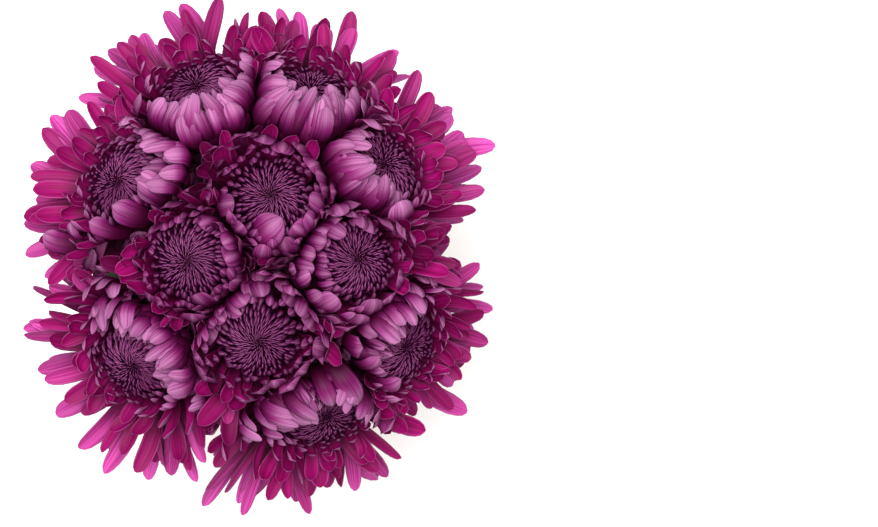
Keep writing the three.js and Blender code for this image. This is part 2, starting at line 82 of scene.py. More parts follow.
def bloom_frame(x, y):
    axis = unit(np.array([x, y, math.sqrt(DISC_RADIUS**2 - x * x - y * y)]))
    side = unit(np.cross([0.0, 1.0, 0.0], axis))
    foot = DOME_CENTRE + axis * (DISC_RADIUS - HEAD_DEPTH)
    return {"axis": axis, "side": side, "up": np.cross(axis, side), "foot": foot}


frames = {name: bloom_frame(*facts[:2]) for name, facts in BLOOMS.items()}
walls = {
    name: np.array([unit(other["axis"] - own["axis"]) for key, other in frames.items() if key != name])
    for name, own in frames.items()
}
first_tilt = math.degrees(math.acos(frames["bloom_01"]["axis"][2]))
print("blooms", len(frames), "tilt of the first", round(first_tilt))

# %% [markdown]
# ## Room between neighbours
# Blooms in a dome press on each other. The plane halfway to a neighbour is a wall: petals bend up along it
# and lean in over their own disc. This helper gives how far out a point may go at an azimuth and a height.


# %% Room
def outward_of(own, azimuth):
    return np.cos(azimuth)[..., None] * own["side"] + np.sin(azimuth)[..., None] * own["up"]


def room_at(name, azimuth, height):
    own = frames[name]
    start = own["foot"] + height[..., None] * own["axis"] - DOME_CENTRE
    facing = outward_of(own, azimuth) @ walls[name].T
    reach = (-WALL_GAP - start @ walls[name].T) / np.maximum(facing, 1e-6)
    return np.where(facing < 0.02, 1000.0, reach).min(-1)


centre_room = room_at("bloom_06", np.radians([0, 90, 180, 270]), np.full(4, 24.0))
print("room of the centre bloom, mm", np.round(centre_room, 1))

# %% [markdown]
# ## How a floret grows
# A chrysanthemum head is a spiral. Each floret starts a golden angle on from the last, 137.5 degrees. The
# inner ones are narrow quills that hook in towards the centre, the next ones are small hoods, and the
# outermost are long straps. One table by rank, from 0 at the centre to 1 at the rim, holds all of that.

# %% The table of growth
FLORETS = 540
# the share of all florets that make up the disc, and the rank at its edge
DISC_SHARE = 0.64
DISC_RANK = 0.56
GOLDEN = math.radians(137.508)
GROWTH = {
    # rank of the floret, from the centre out
    "rank": [0.0, 0.05, 0.12, 0.22, 0.34, 0.44, 0.52, 0.6, 0.68, 0.76, 0.85, 0.93, 1.0],
    # how far out its tip lies, and how far its back bulges past that, mm
    "reach": [0.3, 2.2, 3.9, 5.9, 7.9, 9.8, 12.6, 15.9, 20.5, 32.0, 48.0, 61.0, 60.0],
    "bulge": [0.4, 1.2, 1.8, 2.0, 1.9, 1.6, 1.6, 1.8, 1.6, 0.4, 0.0, 0.0, 0.0],
    # height of tip and root over the foot, mm, and of a tip that is pressed upright
    "tip": [24.0, 24.6, 25.2, 25.8, 26.0, 26.0, 26.2, 26.8, 27.4, 26.5, 22.0, 15.0, 5.0],
    "stand": [24.0, 24.6, 25.2, 25.8, 26.0, 26.0, 26.2, 26.8, 27.6, 28.4, 29.2, 29.2, 28.0],
    "root": [19.0, 19.0, 18.5, 18.0, 17.0, 16.0, 14.0, 12.0, 9.5, 7.0, 4.5, 3.5, 2.5],
    "root_radius": [0.2, 2.0, 3.8, 5.4, 7.0, 7.8, 8.4, 8.8, 9.0, 9.0, 9.0, 9.0, 9.0],
    # leans from the bloom's axis, degrees, inwards below zero
    "root_lean": [0.0, 10.0, 18.0, 26.0, 32.0, 36.0, 40.0, 46.0, 54.0, 62.0, 70.0, 74.0, 82.0],
    "tip_lean": [-30.0, -70.0, -92.0, -98.0, -94.0, -84.0, -74.0, -62.0, -40.0, 8.0, 44.0, 62.0, 84.0],
    # half the width, mm, and how far the blade rolls up to each side, degrees
    "half": [0.18, 0.24, 0.3, 0.36, 0.44, 0.6, 0.92, 1.5, 2.3, 2.9, 3.3, 3.4, 3.3],
    "roll": [80.0, 88.0, 88.0, 88.0, 88.0, 86.0, 80.0, 70.0, 58.0, 48.0, 40.0, 34.0, 28.0],
}
# stations along a floret, and its half width there: a free strap, a pressed strap, a quill
STATIONS = np.array([0.0, 0.2, 0.4, 0.58, 0.73, 0.85, 0.93, 0.975, 1.0])
STRAP_OUTLINE = np.array([0.4, 0.58, 0.8, 0.95, 1.0, 0.96, 0.79, 0.54, 0.14])
PRESSED_OUTLINE = np.array([0.4, 0.6, 0.84, 0.98, 1.0, 0.99, 0.9, 0.7, 0.2])
QUILL_OUTLINE = np.array([0.8, 0.9, 0.95, 1.0, 1.0, 0.95, 0.8, 0.5, 0.12])
# the rank where straps begin, and how many of them stay low in the valley
FIRST_STRAP = 0.68
LOW_SHARE = 0.34
# how far up a blade rolls at each station
ROLL_OUTLINE = 0.75 + 0.35 * STATIONS
# the ranks of the small hoods between the quills and the straps
HOOD_RANKS = [0.52, 0.71]
# the heights, mm, at which a floret looks for its walls and finds out how much room it has
WALL_HEIGHT = 22.0
MIDWAY_HEIGHT = 24.0
# how far to each side it looks, in radians, and how much room, mm, counts as open
CORNER_TURN = 0.45
OPEN_SPACE = 60.0
# how near a broad petal's bearing, in radians, a strap stays low to leave it room
BROAD_TURN = 0.3
# a factor on the reach of straps beside a wall, and how two blooms reach on into a corner (past mm, gain)
SHOULDER = {"bloom_05": 1.05, "bloom_08": 0.98, "bloom_10": 1.06, "bloom_11": 1.1}
OPEN_CORNER = {"bloom_07": (28.0, 3.0), "bloom_09": (33.0, 1.6)}


def grown(key, rank):
    return np.interp(rank, GROWTH["rank"], GROWTH[key])


def bezier(points, s):
    a, b, c, d = (p[:, None, :] for p in points)
    s = s[None, :, None]
    place = (1 - s) ** 3 * a + 3 * (1 - s) ** 2 * s * b + 3 * (1 - s) * s**2 * c + s**3 * d
    way = 3 * (1 - s) ** 2 * (b - a) + 6 * (1 - s) * s * (c - b) + 3 * s**2 * (d - c)
    return place, unit(way)


def lean(angle, length):
    return np.stack([np.sin(angle) * length, np.cos(angle) * length], -1)


print("florets a bloom", FLORETS, "in the disc", int(DISC_SHARE * FLORETS))

# %% [markdown]
# ## Broad petals
# Ten petals stand out by their width in the photograph, and they are placed one by one. A rib is one midrib
# with all that its blade needs at each point: width, roll, facing, and the values that the material reads.


# %% Broad petals
BROAD = {
    # base and tip in plan, mm, and half the width, mm
    "bloom_03": [
        (-38.6, 12.5, -52.6, 19.1, 5.0),
        (-49.1, 10.5, -62.0, 13.3, 3.8),
        (-65.9, 3.9, -80.3, 8.2, 4.2),
    ],
    "bloom_04": [(-1.2, 5.1, 10.9, 13.6, 7.0)],
    "bloom_10": [
        (32.7, -33.9, 42.5, -35.5, 4.6),
        (38.6, -45.2, 48.7, -39.8, 4.8),
        (44.8, -51.5, 56.9, -48.7, 4.2),
    ],
    "bloom_11": [
        (28.8, -41.3, 39.8, -56.5, 5.4),
        (24.7, -44.6, 30.8, -57.3, 3.4),
        (43.7, -49.9, 41.7, -62.8, 3.4),
    ],
}
BROAD_BASE_HEIGHT = 20.0
BROAD_TIP_HEIGHT = 28.6


def across_bloom(own, x, y, height):
    """The point of the bloom's own plane at a height that lies over x, y in plan."""
    sideways = np.stack([own["side"][:2], own["up"][:2]], -1)
    return np.linalg.solve(sideways, np.array([x, y]) - own["foot"][:2] - height * own["axis"][:2])


def broad_petals(name):
    found = []
    for x, y, tip_x, tip_y, half in BROAD.get(name, []):
        base = across_bloom(frames[name], x, y, BROAD_BASE_HEIGHT)
        tip = across_bloom(frames[name], tip_x, tip_y, BROAD_TIP_HEIGHT)
        tip = tip + 0.12 * (tip - base)
        found.append((base, tip, math.atan2(base[1], base[0]), half))
    return found


def one_rib(line, way, facing, half, roll, along, **given):
    """The values of one rib at each of its points. What is not given is nought."""
    ones = np.ones(len(line))
    values = {key: given.get(key, 0.0) * ones for key in ("rank", "broad", "chance", "deep", "sun", "pucker")}
    values.update(place=line * MM, half=half * MM, roll=roll * ones, along=along, facing=facing)
    values.update(aside=unit(np.cross(way, facing)), ahead=given.get("ahead", np.zeros_like(line)))
    return values


def stacked(ribs):
    return {key: np.stack([rib[key] for rib in ribs]) for key in ribs[0]}


def broad_ribs(name):
    own = frames[name]
    ribs = []
    for number, (base, tip, azimuth, half) in enumerate(broad_petals(name)):
        away = unit(base)
        room = float(room_at(name, np.array(azimuth), np.array(BROAD_BASE_HEIGHT))) - 0.6
        far = away * min(np.linalg.norm(base) + 3.5, room + 2.5)
        flats = [9 * away, far, far + 0.2 * (tip - base), tip]
        heights = [5.0, 12.0, 33.0, BROAD_TIP_HEIGHT]
        points = [
            own["foot"] + flat[0] * own["side"] + flat[1] * own["up"] + height * own["axis"]
            for flat, height in zip(flats, heights)
        ]
        (place,), (way,) = bezier([point[None] for point in points], STATIONS)
        lean_way = unit(base - tip)
        sideways = np.cross(own["axis"], lean_way[0] * own["side"] + lean_way[1] * own["up"])
        facing = unit(np.cross(way, sideways))
        height = (place - own["foot"]) @ own["axis"]
        # painted shade: darker towards the foot, deep in the bloom
        deep = np.clip((24.0 - height) / 12.0, 0, 1)
        roll = np.radians(38.0) * ROLL_OUTLINE
        luck = 0.45 + 0.13 * number
        more = {"rank": 0.8, "broad": 1.0, "chance": luck, "deep": deep, "sun": 0.5}
        ribs.append(one_rib(place, way, facing, half * STRAP_OUTLINE, roll, STATIONS, **more))
    return ribs


print("broad petals", sum(len(found) for found in BROAD.values()))

# %% [markdown]
# ## Where each floret points
# Each floret gets its rank, its way out and its neighbours. Straps on the inner side of an outer bloom know
# that they face the dome's middle. Some straps stay low and turn to the corner that has the most room.


# %% Where florets point
def florets_of(name, seed):
    """What is known of each floret before it is drawn, as one bundle of arrays."""
    f = SimpleNamespace(name=name, own=frames[name], rng=np.random.default_rng(seed))
    f.draw = lambda spread: f.rng.uniform(-spread, spread, FLORETS)
    _x, _y, turned_by, f.vigour, f.closed = BLOOMS[name]
    count = np.arange(FLORETS)
    f.rank = np.interp((count + 0.5) / FLORETS, [0, DISC_SHARE, 1], [0, DISC_RANK, 1])
    f.strap = np.clip((f.rank - 0.58) / 0.14, 0, 1)
    f.wild = np.exp(-(((f.rank - 0.59) / 0.1) ** 2))
    azimuth = math.radians(turned_by) + count * GOLDEN
    azimuth = azimuth + f.draw(0.07) + f.draw(0.1) * f.wild + f.draw(0.2) * f.strap
    f.tilt = math.degrees(math.acos(f.own["axis"][2]))
    from_middle = unit(f.own["axis"] * [1, 1, 0])
    f.inner = np.interp(f.tilt, [20, 40], [0, 1])
    f.inner = f.inner * np.clip(-outward_of(f.own, azimuth) @ from_middle, 0, 1)
    is_strap = f.rank > FIRST_STRAP
    f.low = (f.rng.uniform(0, 1, FLORETS) < LOW_SHARE * np.clip(1.0 - 4 * f.inner, 0, 1)) & is_strap
    for _base, _tip, base_azimuth, _half in broad_petals(name):
        apart = np.abs(np.angle(np.exp(1j * (azimuth - base_azimuth))))
        f.low |= (apart < BROAD_TURN) & is_strap
    corners = azimuth[:, None] + np.linspace(-CORNER_TURN, CORNER_TURN, 13)
    space = room_at(name, corners, np.full(corners.shape, WALL_HEIGHT))
    outermost = f.tilt > 30
    open_side = 45.0 if outermost else OPEN_SPACE
    roomiest = corners[count, np.where(space > open_side, 0 if outermost else open_side, space).argmax(1)]
    f.azimuth = np.where(f.low & (space.min(1) < 40), roomiest + f.draw(0.12), azimuth)
    f.outward = outward_of(f.own, f.azimuth)
    f.beside_wall = (space.min(1) < OPEN_SPACE) & (space.max(1) > OPEN_SPACE) & is_strap
    f.homeward = np.minimum(f.inner + 0.8 * f.closed, 1.4)
    f.near_side = np.clip(1.6 * f.inner, 0, 1)
    return f


def room_for(f, height):
    """How far out each floret may go at a height, less a margin that is wider for the small ones."""
    near = np.min([room_at(f.name, f.azimuth + turn, height) for turn in (-0.07, 0.0, 0.07)], 0)
    start, gain = OPEN_CORNER.get(f.name, (0.0, 0.0))
    keep_off = 0.2 + 16.0 * np.maximum(0.0, 0.8 - f.rank)
    return np.maximum(near + gain * np.maximum(near - start, 0) - keep_off, 2.0)


test_florets = florets_of("bloom_06", 6)
print("low straps", int(test_florets.low.sum()), "beside a wall", int(test_florets.beside_wall.sum()))

# %% [markdown]
# ## Tip and root
# A free floret ends where the table says. One without room is squeezed: its tip stands up on the wall and
# leans in over the disc, further on the inner side of the outer blooms, where the straps make a palisade
# in layers. The small hoods behind that palisade are tucked in towards the disc.


# %% Tips and roots
def pressed(f, free, against):
    """A value between that of a free floret and that of one pressed against its wall."""
    return free + (against - free) * f.squeeze


def ends_of(f):
    """Tip and root as (distance from the axis, height), and the leans at root and tip."""
    grow_out = 1 + f.draw(0.07) + f.draw(0.1) * f.wild + (f.vigour - 1 + f.draw(0.09)) * f.strap
    reach = grown("reach", f.rank) * grow_out * np.where(f.beside_wall, SHOULDER.get(f.name, 1.0), 1.0)
    tip_height = grown("tip", f.rank) + f.draw(0.7) + f.draw(1.6) * f.wild + f.draw(3.5) * f.strap
    upright = grown("stand", f.rank) + f.draw(0.7) + f.draw(1.6) * f.wild
    upright += (f.draw(2.4 + 1.6 * f.inner) + 3.0 * f.homeward) * f.strap
    upright -= f.near_side * np.interp(f.rank, [0.78, 1.0], [0.0, 9.0])
    stand = np.where(f.low, f.rng.uniform(9, 19, FLORETS), upright)

    midway = room_for(f, np.full(FLORETS, MIDWAY_HEIGHT))
    is_hood = (f.rank > HOOD_RANKS[0]) & (f.rank < HOOD_RANKS[1])
    tucked = (f.homeward > 0.15) & is_hood & (midway < 1.4 * reach)
    reach = np.where(tucked, np.minimum(reach, np.interp(f.rank, HOOD_RANKS, [11.0, 13.5])), reach)
    tip_height -= 1.8 * tucked
    squeeze = np.clip(2.4 * (0.82 - midway / reach), 0, 1) * (f.rank > 0.5)
    f.squeeze = np.maximum(squeeze, np.clip(2.2 * f.inner, 0, 1) * f.strap) * ~tucked

    lean_in = (6.0 + 8.0 * (1 - f.rank) + f.draw(3.0)) * np.clip(f.strap + 0.4, 0, 1)
    lean_in += (10.0 * f.inner * (0.2 + 1.2 * f.closed) + 6.0 * f.closed) * (1 + f.draw(0.5))
    lean_in = np.where(f.low, 2.0 + f.draw(1.6), lean_in)
    height = pressed(f, tip_height, stand)
    out = np.maximum(np.minimum(reach, room_for(f, height)) - f.squeeze * lean_in, 0.2)
    root = np.stack([grown("root_radius", f.rank), grown("root", f.rank)], -1)
    root_lean = grown("root_lean", f.rank) * pressed(f, 1.0, 0.8)
    free_lean = grown("tip_lean", f.rank) + f.draw(6.0) + f.draw(12.0) * f.wild + f.draw(16.0) * f.strap
    pressed_lean = np.where(f.low, -50.0, -66.0 - 16.0 * f.homeward) + f.draw(14.0)
    leans = np.radians(root_lean), np.radians(pressed(f, free_lean, pressed_lean))
    return np.stack([out, height], -1), root, leans


test_tip, _root, _leans = ends_of(test_florets)
print("tucked or free", int((test_florets.squeeze == 0).sum()))
print("highest tip, mm", round(test_tip[:, 1].max(), 1))

# %% [markdown]
# ## The midrib of every floret
# Each floret is a curve in its own upright plane through the bloom's axis: from its root, out and up, to
# its tip. The belly of a squeezed one is pushed on to the wall, and then back until it no longer goes
# through it.


# %% Midrib curves
def pressed_line(f, root, tip, leans, handles):
    """The two handles of each cubic, with the belly of a pressed one moved out to its wall."""
    span = np.linalg.norm(tip - root, axis=-1)
    first = root + lean(leans[0], handles[0] * span)
    second = tip - lean(leans[1], handles[1] * span)
    for _ in range(2):
        belly = (root + 3 * first + 3 * second + tip) / 8
        spare = (room_for(f, belly[:, 1]) - belly[:, 0]) / 0.75
        first[:, 0] += 0.9 * f.squeeze * spare
        second[:, 0] += 0.9 * f.squeeze * spare
    for _ in range(3):
        flat, _way = bezier((root, first, second, tip), STATIONS)
        over = np.max([flat[:, i, 0] - room_for(f, flat[:, i, 1]) for i in (3, 4, 5)], 0)
        first[:, 0] -= np.maximum(over, 0)
        second[:, 0] -= np.maximum(over, 0)
    return first, second


def curves_of(f):
    """The points of each midrib, in space and in its own plane, and the way along it."""
    tip, root, leans = ends_of(f)
    quill_handle = np.interp(f.rank, [0.25, 0.5], [0.5, 0.38])
    handles = (0.42, np.where(f.rank < DISC_RANK, quill_handle, pressed(f, 0.32, 0.4)))
    first, second = pressed_line(f, root, tip, leans, handles)
    bulge = grown("bulge", f.rank)
    first[:, 0] += 0.6 * bulge * (1 - f.squeeze)
    second[:, 0] += 1.1 * bulge * (1 - 0.8 * f.squeeze)
    flat, way = bezier((root, first, second, tip), STATIONS)
    sway = 0.1 * (1 - f.strap) + f.draw(1.0) * (0.02 + 0.26 * f.strap * (1 - 0.5 * f.squeeze))
    sway = (sway * np.linalg.norm(tip - root, axis=-1))[:, None] * STATIONS**2
    sideways = np.cross(f.own["axis"], f.outward)
    place = f.own["foot"] + flat[..., :1] * f.outward[:, None] + flat[..., 1:] * f.own["axis"]
    return place + sway[..., None] * sideways[:, None], flat, way


print("points on each midrib", len(STATIONS))

# %% [markdown]
# ## Width and roll
# Each blade faces the axis, with a small twist. Its width and its roll come from the table and change where
# it is pressed: wider on a wall between two blooms, slimmer on the inner side of an outer bloom.


# %% Blades
def blades_of(f, place, way):
    """The facing, the direction across, the half width and the roll of each blade."""
    tangent = unit(np.gradient(place, axis=1))
    facing = -way[..., 1:] * f.outward[:, None] + way[..., :1] * f.own["axis"]
    aside = unit(np.cross(tangent, facing))
    facing = np.cross(aside, tangent)
    twist = f.draw(1.0) ** 3 * (0.12 + 0.8 * f.strap * (1 - 0.6 * f.squeeze))
    turn = (twist[:, None] * STATIONS)[..., None]
    cosine, sine = np.cos(turn), np.sin(turn)
    facing, aside = facing * cosine + aside * sine, aside * cosine - facing * sine

    on_wall = f.squeeze * f.strap
    strap_outline = STRAP_OUTLINE + f.squeeze[:, None] * (PRESSED_OUTLINE - STRAP_OUTLINE)
    outline = QUILL_OUTLINE + f.strap[:, None] * (strap_outline - QUILL_OUTLINE)
    wider = (0.1 + 0.2 * f.wild + 0.12 * f.strap) * f.draw(1.0) + 0.25 * (1 - 0.6 * f.closed) * on_wall
    f.width = grown("half", f.rank) * (1 + wider) * (1 + 0.45 * on_wall * f.draw(1.0) ** 2)
    slim = f.near_side * f.strap * ~f.low
    f.width *= 1 - (0.3 + 0.12 * f.draw(1.0)) * slim
    roll = np.radians(grown("roll", f.rank)) * (1 - (0.3 - 0.2 * f.inner) * on_wall)
    roll = roll[:, None] * ROLL_OUTLINE + np.radians(f.draw(10.0) * f.strap + 4.0)[:, None]
    return facing, aside, f.width[:, None] * outline, roll


print("widest roll, degrees", max(GROWTH["roll"]))

# %% [markdown]
# ## Thinning the crowd
# From the outermost floret inwards, each one stays only if it is far enough from those that stay already, so
# that every petal keeps an edge of its own. All that stay become one mesh of plain edges, which carries the
# values of each point as attributes.


# %% Thinning and ribs
def uncrowded(f, spots):
    """The numbers of the florets that have some space of their own, the outermost chosen first."""
    order = np.argsort(-f.rank - 0.15 * f.rng.uniform(0, 1, FLORETS) + 2 * (f.rank < 0.6))
    crowding = np.interp(f.rank, [0.46, 0.52, 0.6, 0.7], [0.0, 0.5, 0.7, 0.6])
    crowding -= f.strap * (0.15 * (1 - f.squeeze) + f.squeeze * np.minimum(0.22 * f.homeward, 0.22))
    sizes = f.width * np.where(f.low, 0.42, crowding)
    kept = []
    for i in order:
        apart = np.linalg.norm(spots[kept] - spots[i], axis=1)
        if np.all(apart > sizes[kept] + sizes[i]):
            kept.append(i)
    return np.sort(kept)


def midribs(name, seed):
    """All ribs of a bloom: the spiral's, thinned out, and the broad ones."""
    f = florets_of(name, seed)
    place, flat, way = curves_of(f)
    facing, aside, half, roll = blades_of(f, place, way)
    # painted shade: on the low straps of the inner blooms, and on the feet of pressed straps in the valleys
    shade = 0.7 * f.low * np.interp(f.tilt, [24, 34], [1, 0])
    valley_shade = np.clip((29.0 - flat[..., 1]) / 13.0, 0, 1) * f.squeeze[:, None]
    ribs = {"place": place * MM, "half": half * MM, "roll": roll, "facing": facing, "aside": aside}
    ribs["deep"] = np.maximum(valley_shade, shade[:, None])
    ribs["along"] = np.broadcast_to(STATIONS, half.shape)
    ribs["ahead"] = np.zeros_like(place)
    each = {"rank": f.rank, "broad": f.rank > DISC_RANK, "chance": f.rng.uniform(0, 1, FLORETS)}
    # painted light: blooms further out on the dome get more sun, which pales and brightens their backs
    each.update(sun=np.full(FLORETS, np.interp(f.tilt, [15, 45], [0, 1])), pucker=np.zeros(FLORETS))
    for key, values in each.items():
        ribs[key] = np.repeat(values[:, None].astype(float), len(STATIONS), 1)
    kept = uncrowded(f, place[:, 5])
    ribs = {key: values[kept] for key, values in ribs.items()}
    if name in BROAD:
        extra = stacked(broad_ribs(name))
        ribs = {key: np.concatenate([values, extra[key]]) for key, values in ribs.items()}
    return ribs


def rib_mesh(name, ribs):
    count, steps = ribs["half"].shape
    mesh = bpy.data.meshes.new(name)
    index = np.arange(count * steps).reshape(count, steps)
    edges = np.stack([index[:, :-1].ravel(), index[:, 1:].ravel()], -1)
    mesh.from_pydata(ribs["place"].reshape(-1, 3).tolist(), edges.tolist(), [])
    for key, values in ribs.items():
        if key == "place":
            continue
        vector = values.ndim == 3
        attribute = mesh.attributes.new(key, "FLOAT_VECTOR" if vector else "FLOAT", "POINT")
        attribute.data.foreach_set("vector" if vector else "value", values.astype(np.float32).ravel())
    return mesh


test_ribs = midribs("bloom_06", 6)
print("rib points", test_ribs["half"].size, "widest, mm", round(2000 * float(test_ribs["half"].max()), 1))

# %% [markdown]
# ## A small helper for node trees
# Node trees are built here in code. `add` makes a node, sets its properties, and joins or fills its inputs,
# so that each tree below reads from top to bottom. The rest are short names for what is used often.


# %% Helpers for trees
def add(tree, kind, inputs=None, **settings):
    node = tree.nodes.new(kind)
    for key, value in settings.items():
        setattr(node, key, value)
    for key, value in (inputs or {}).items():
        if isinstance(value, bpy.types.NodeSocket):
            tree.links.new(value, node.inputs[key])
        else:
            node.inputs[key].default_value = value
    return node


def maths(tree, operation, *values):
    return add(tree, "ShaderNodeMath", dict(enumerate(values)), operation=operation).outputs[0]


def times(tree, product, *others):
    for other in others:
        product = maths(tree, "MULTIPLY", product, other)
    return product


def plus(tree, a, b):
    return maths(tree, "ADD", a, b)


def minus(tree, a, b):
    return maths(tree, "SUBTRACT", a, b)


def scaled(tree, vector, factor):
    return add(tree, "ShaderNodeVectorMath", {0: vector, "Scale": factor}, operation="SCALE").outputs[0]


def summed(tree, a, b):
    return add(tree, "ShaderNodeVectorMath", {0: a, 1: b}, operation="ADD").outputs[0]


def split(tree, vector):
    return add(tree, "ShaderNodeSeparateXYZ", {0: vector}).outputs


def named(tree, name, kind="FLOAT"):
    return add(tree, "GeometryNodeInputNamedAttribute", {"Name": name}, data_type=kind).outputs["Attribute"]


def here(tree):
    return add(tree, "GeometryNodeInputPosition").outputs[0]


def moved(tree, geometry, **where):
    return add(tree, "GeometryNodeSetPosition", {"Geometry": geometry, **where}).outputs[0]


print("helpers ready")

# %% [markdown]
# ## From a tree to a mesh
# A tree gets its named inputs from a small table. `grow` runs it on a mesh as a modifier and keeps the
# result as a plain mesh, so that nothing depends on the tree afterwards.


# %% Running a tree
def new_tree(name, sockets):
    tree = bpy.data.node_groups.new(name, "GeometryNodeTree")
    tree.interface.new_socket("Geometry", in_out="INPUT", socket_type="NodeSocketGeometry")
    for label, kind in sockets.items():
        tree.interface.new_socket(label, in_out="INPUT", socket_type="NodeSocket" + kind)
    tree.interface.new_socket("Geometry", in_out="OUTPUT", socket_type="NodeSocketGeometry")
    return tree, tree.nodes.new("NodeGroupInput").outputs, tree.nodes.new("NodeGroupOutput")


def new_object(name, data):
    made = bpy.data.objects.new(name, data)
    bpy.context.scene.collection.objects.link(made)
    return made


def grow(source, tree, values, name):
    """Runs a tree on a mesh and gives the result as a plain mesh object."""
    carrier = new_object(name + ".source", source)
    modifier = carrier.modifiers.new("grow", "NODES")
    modifier.node_group = tree
    for item in tree.interface.items_tree:
        if item.item_type == "SOCKET" and item.in_out == "INPUT" and item.name in values:
            modifier[item.identifier] = values[item.name]
    evaluated = carrier.evaluated_get(bpy.context.evaluated_depsgraph_get())
    mesh = bpy.data.meshes.new_from_object(evaluated)
    bpy.data.objects.remove(carrier)
    mesh.name = name
    return new_object(name, mesh)


# %% [markdown]
# ## Blades along the midribs
# A petal is a thin blade. Curve to Mesh sweeps a flat ring along each midrib, scaled by its half width, and
# Set Position rolls the ring up to both sides, like a gutter, and gives it its thickness. The ring's own
# across and under values travel on to the blade, where the material reads them.


# %% The blade tree
# the fold along a petal's middle, and how fast it ends to the sides, as shares of the half width
CREASE_DEPTH = 0.12
CREASE_SLOPE = 0.24


def stored(tree, geometry, name, value):
    inputs = {"Geometry": geometry, "Name": name, "Value": value}
    return add(tree, "GeometryNodeStoreNamedAttribute", inputs, data_type="FLOAT", domain="POINT").outputs[0]


def circle(tree, points):
    return add(tree, "GeometryNodeCurvePrimitiveCircle", {"Resolution": points, "Radius": 1.0}).outputs[0]


def flat_ring(tree, points):
    spot = split(tree, here(tree))
    ring = stored(tree, circle(tree, points), "across", spot["X"])
    ring = stored(tree, ring, "under", spot["Y"])
    flat = add(tree, "ShaderNodeCombineXYZ", {"X": 0.0, "Y": times(tree, named(tree, "across"), -1.0)})
    return moved(tree, ring, Position=flat.outputs[0])


def swept(tree, rails, ring):
    sizes = {"Curve": rails, "Profile Curve": ring, "Scale": named(tree, "half"), "Fill Caps": True}
    return add(tree, "GeometryNodeCurveToMesh", sizes).outputs[0]


def swept_flat(tree, ribs, points):
    rails = add(tree, "GeometryNodeMeshToCurve", {"Mesh": ribs}).outputs[0]
    normals = {"Curve": rails, "Normal": named(tree, "facing", "FLOAT_VECTOR")}
    rails = add(tree, "GeometryNodeSetCurveNormal", normals, mode="FREE").outputs[0]
    return swept(tree, rails, flat_ring(tree, points))


def rolled(tree, blades, thickness):
    across, under, half, roll = (named(tree, key) for key in ("across", "under", "half", "roll"))
    angle = times(tree, across, roll)
    apart = maths(tree, "ABSOLUTE", across)
    aside = minus(tree, maths(tree, "DIVIDE", maths(tree, "SINE", angle), roll), across)
    rise = maths(tree, "DIVIDE", minus(tree, 1.0, maths(tree, "COSINE", angle)), roll)
    crease = maths(tree, "MAXIMUM", minus(tree, CREASE_DEPTH, times(tree, apart, CREASE_SLOPE)), 0.0)
    rise = minus(tree, rise, crease)
    lift = plus(tree, times(tree, rise, half), times(tree, under, thickness))
    lift = plus(tree, lift, times(tree, named(tree, "pucker"), apart))
    shift = scaled(tree, named(tree, "aside", "FLOAT_VECTOR"), times(tree, aside, half))
    shift = summed(tree, shift, scaled(tree, named(tree, "facing", "FLOAT_VECTOR"), lift))
    shift = summed(tree, shift, scaled(tree, named(tree, "ahead", "FLOAT_VECTOR"), apart))
    return moved(tree, blades, Offset=shift)


def finished(tree, end, geometry, material):
    smooth = add(tree, "GeometryNodeSetShadeSmooth", {"Geometry": geometry, "Shade Smooth": True})
    whole = add(tree, "GeometryNodeRealizeInstances", {"Geometry": smooth.outputs[0]})
    done = add(tree, "GeometryNodeSetMaterial", {"Geometry": whole.outputs[0], "Material": material})
    tree.links.new(done.outputs[0], end.inputs[0])


def blade_tree():
    sockets = {"Thickness": "Float", "Quill points": "Int", "Strap points": "Int", "Material": "Material"}
    tree, given, end = new_tree("blades along ribs", sockets)
    broad = maths(tree, "GREATER_THAN", named(tree, "broad"), 0.5)
    ribs = {"Geometry": given[0], "Selection": broad}
    sorts = add(tree, "GeometryNodeSeparateGeometry", ribs, domain="POINT").outputs
    both = add(tree, "GeometryNodeJoinGeometry")
    for sort, points in zip(sorts, ("Strap points", "Quill points")):
        tree.links.new(swept_flat(tree, sort, given[points]), both.inputs[0])
    blades = rolled(tree, both.outputs[0], given["Thickness"])
    finished(tree, end, blades, given["Material"])
    return tree


blades_along_ribs = blade_tree()
print("nodes in the blade tree", len(blades_along_ribs.nodes))

# %% [markdown]
# ## Helpers for materials
# Every material here is a Principled BSDF with a colour and a fine relief. Colours are mixed in layers, each
# with a mask between 0 and 1, and a smooth Map Range turns any value into such a mask.


# %% Helpers for materials
def shader_value(tree, name):
    return add(tree, "ShaderNodeAttribute", attribute_name=name).outputs["Fac"]


def blend_colour(tree, factor, a, b, mode="MIX"):
    a, b = ((*value, 1.0) if isinstance(value, tuple) else value for value in (a, b))
    layers = {"Factor": factor, 6: a, 7: b}
    return add(tree, "ShaderNodeMix", layers, data_type="RGBA", blend_type=mode).outputs[2]


def shaded(tree, colour, share):
    """A colour times a value."""
    grey = add(tree, "ShaderNodeCombineColor", {0: share, 1: share, 2: share}).outputs[0]
    return blend_colour(tree, 1.0, colour, grey, "MULTIPLY")


def ranged(tree, value, low, high, to_low=0.0, to_high=1.0):
    ends = {"Value": value, "From Min": low, "From Max": high, "To Min": to_low, "To Max": to_high}
    return add(tree, "ShaderNodeMapRange", ends, interpolation_type="SMOOTHSTEP").outputs["Result"]


def new_material(name, roughness, specular):
    material = bpy.data.materials.new(name)
    material.use_nodes = True
    surface = material.node_tree.nodes["Principled BSDF"].inputs
    surface["Roughness"].default_value = roughness
    surface["Specular IOR Level"].default_value = specular
    return material, material.node_tree


def painted(material, colour, height, strength, depth):
    """Joins a colour and a fine relief to the surface of a material."""
    tree = material.node_tree
    surface = tree.nodes["Principled BSDF"].inputs
    tree.links.new(colour, surface["Base Color"])
    bump = add(tree, "ShaderNodeBump", {"Strength": strength, "Distance": depth, "Height": height})
    tree.links.new(bump.outputs[0], surface["Normal"])
    return material


print("materials so far", len(bpy.data.materials))

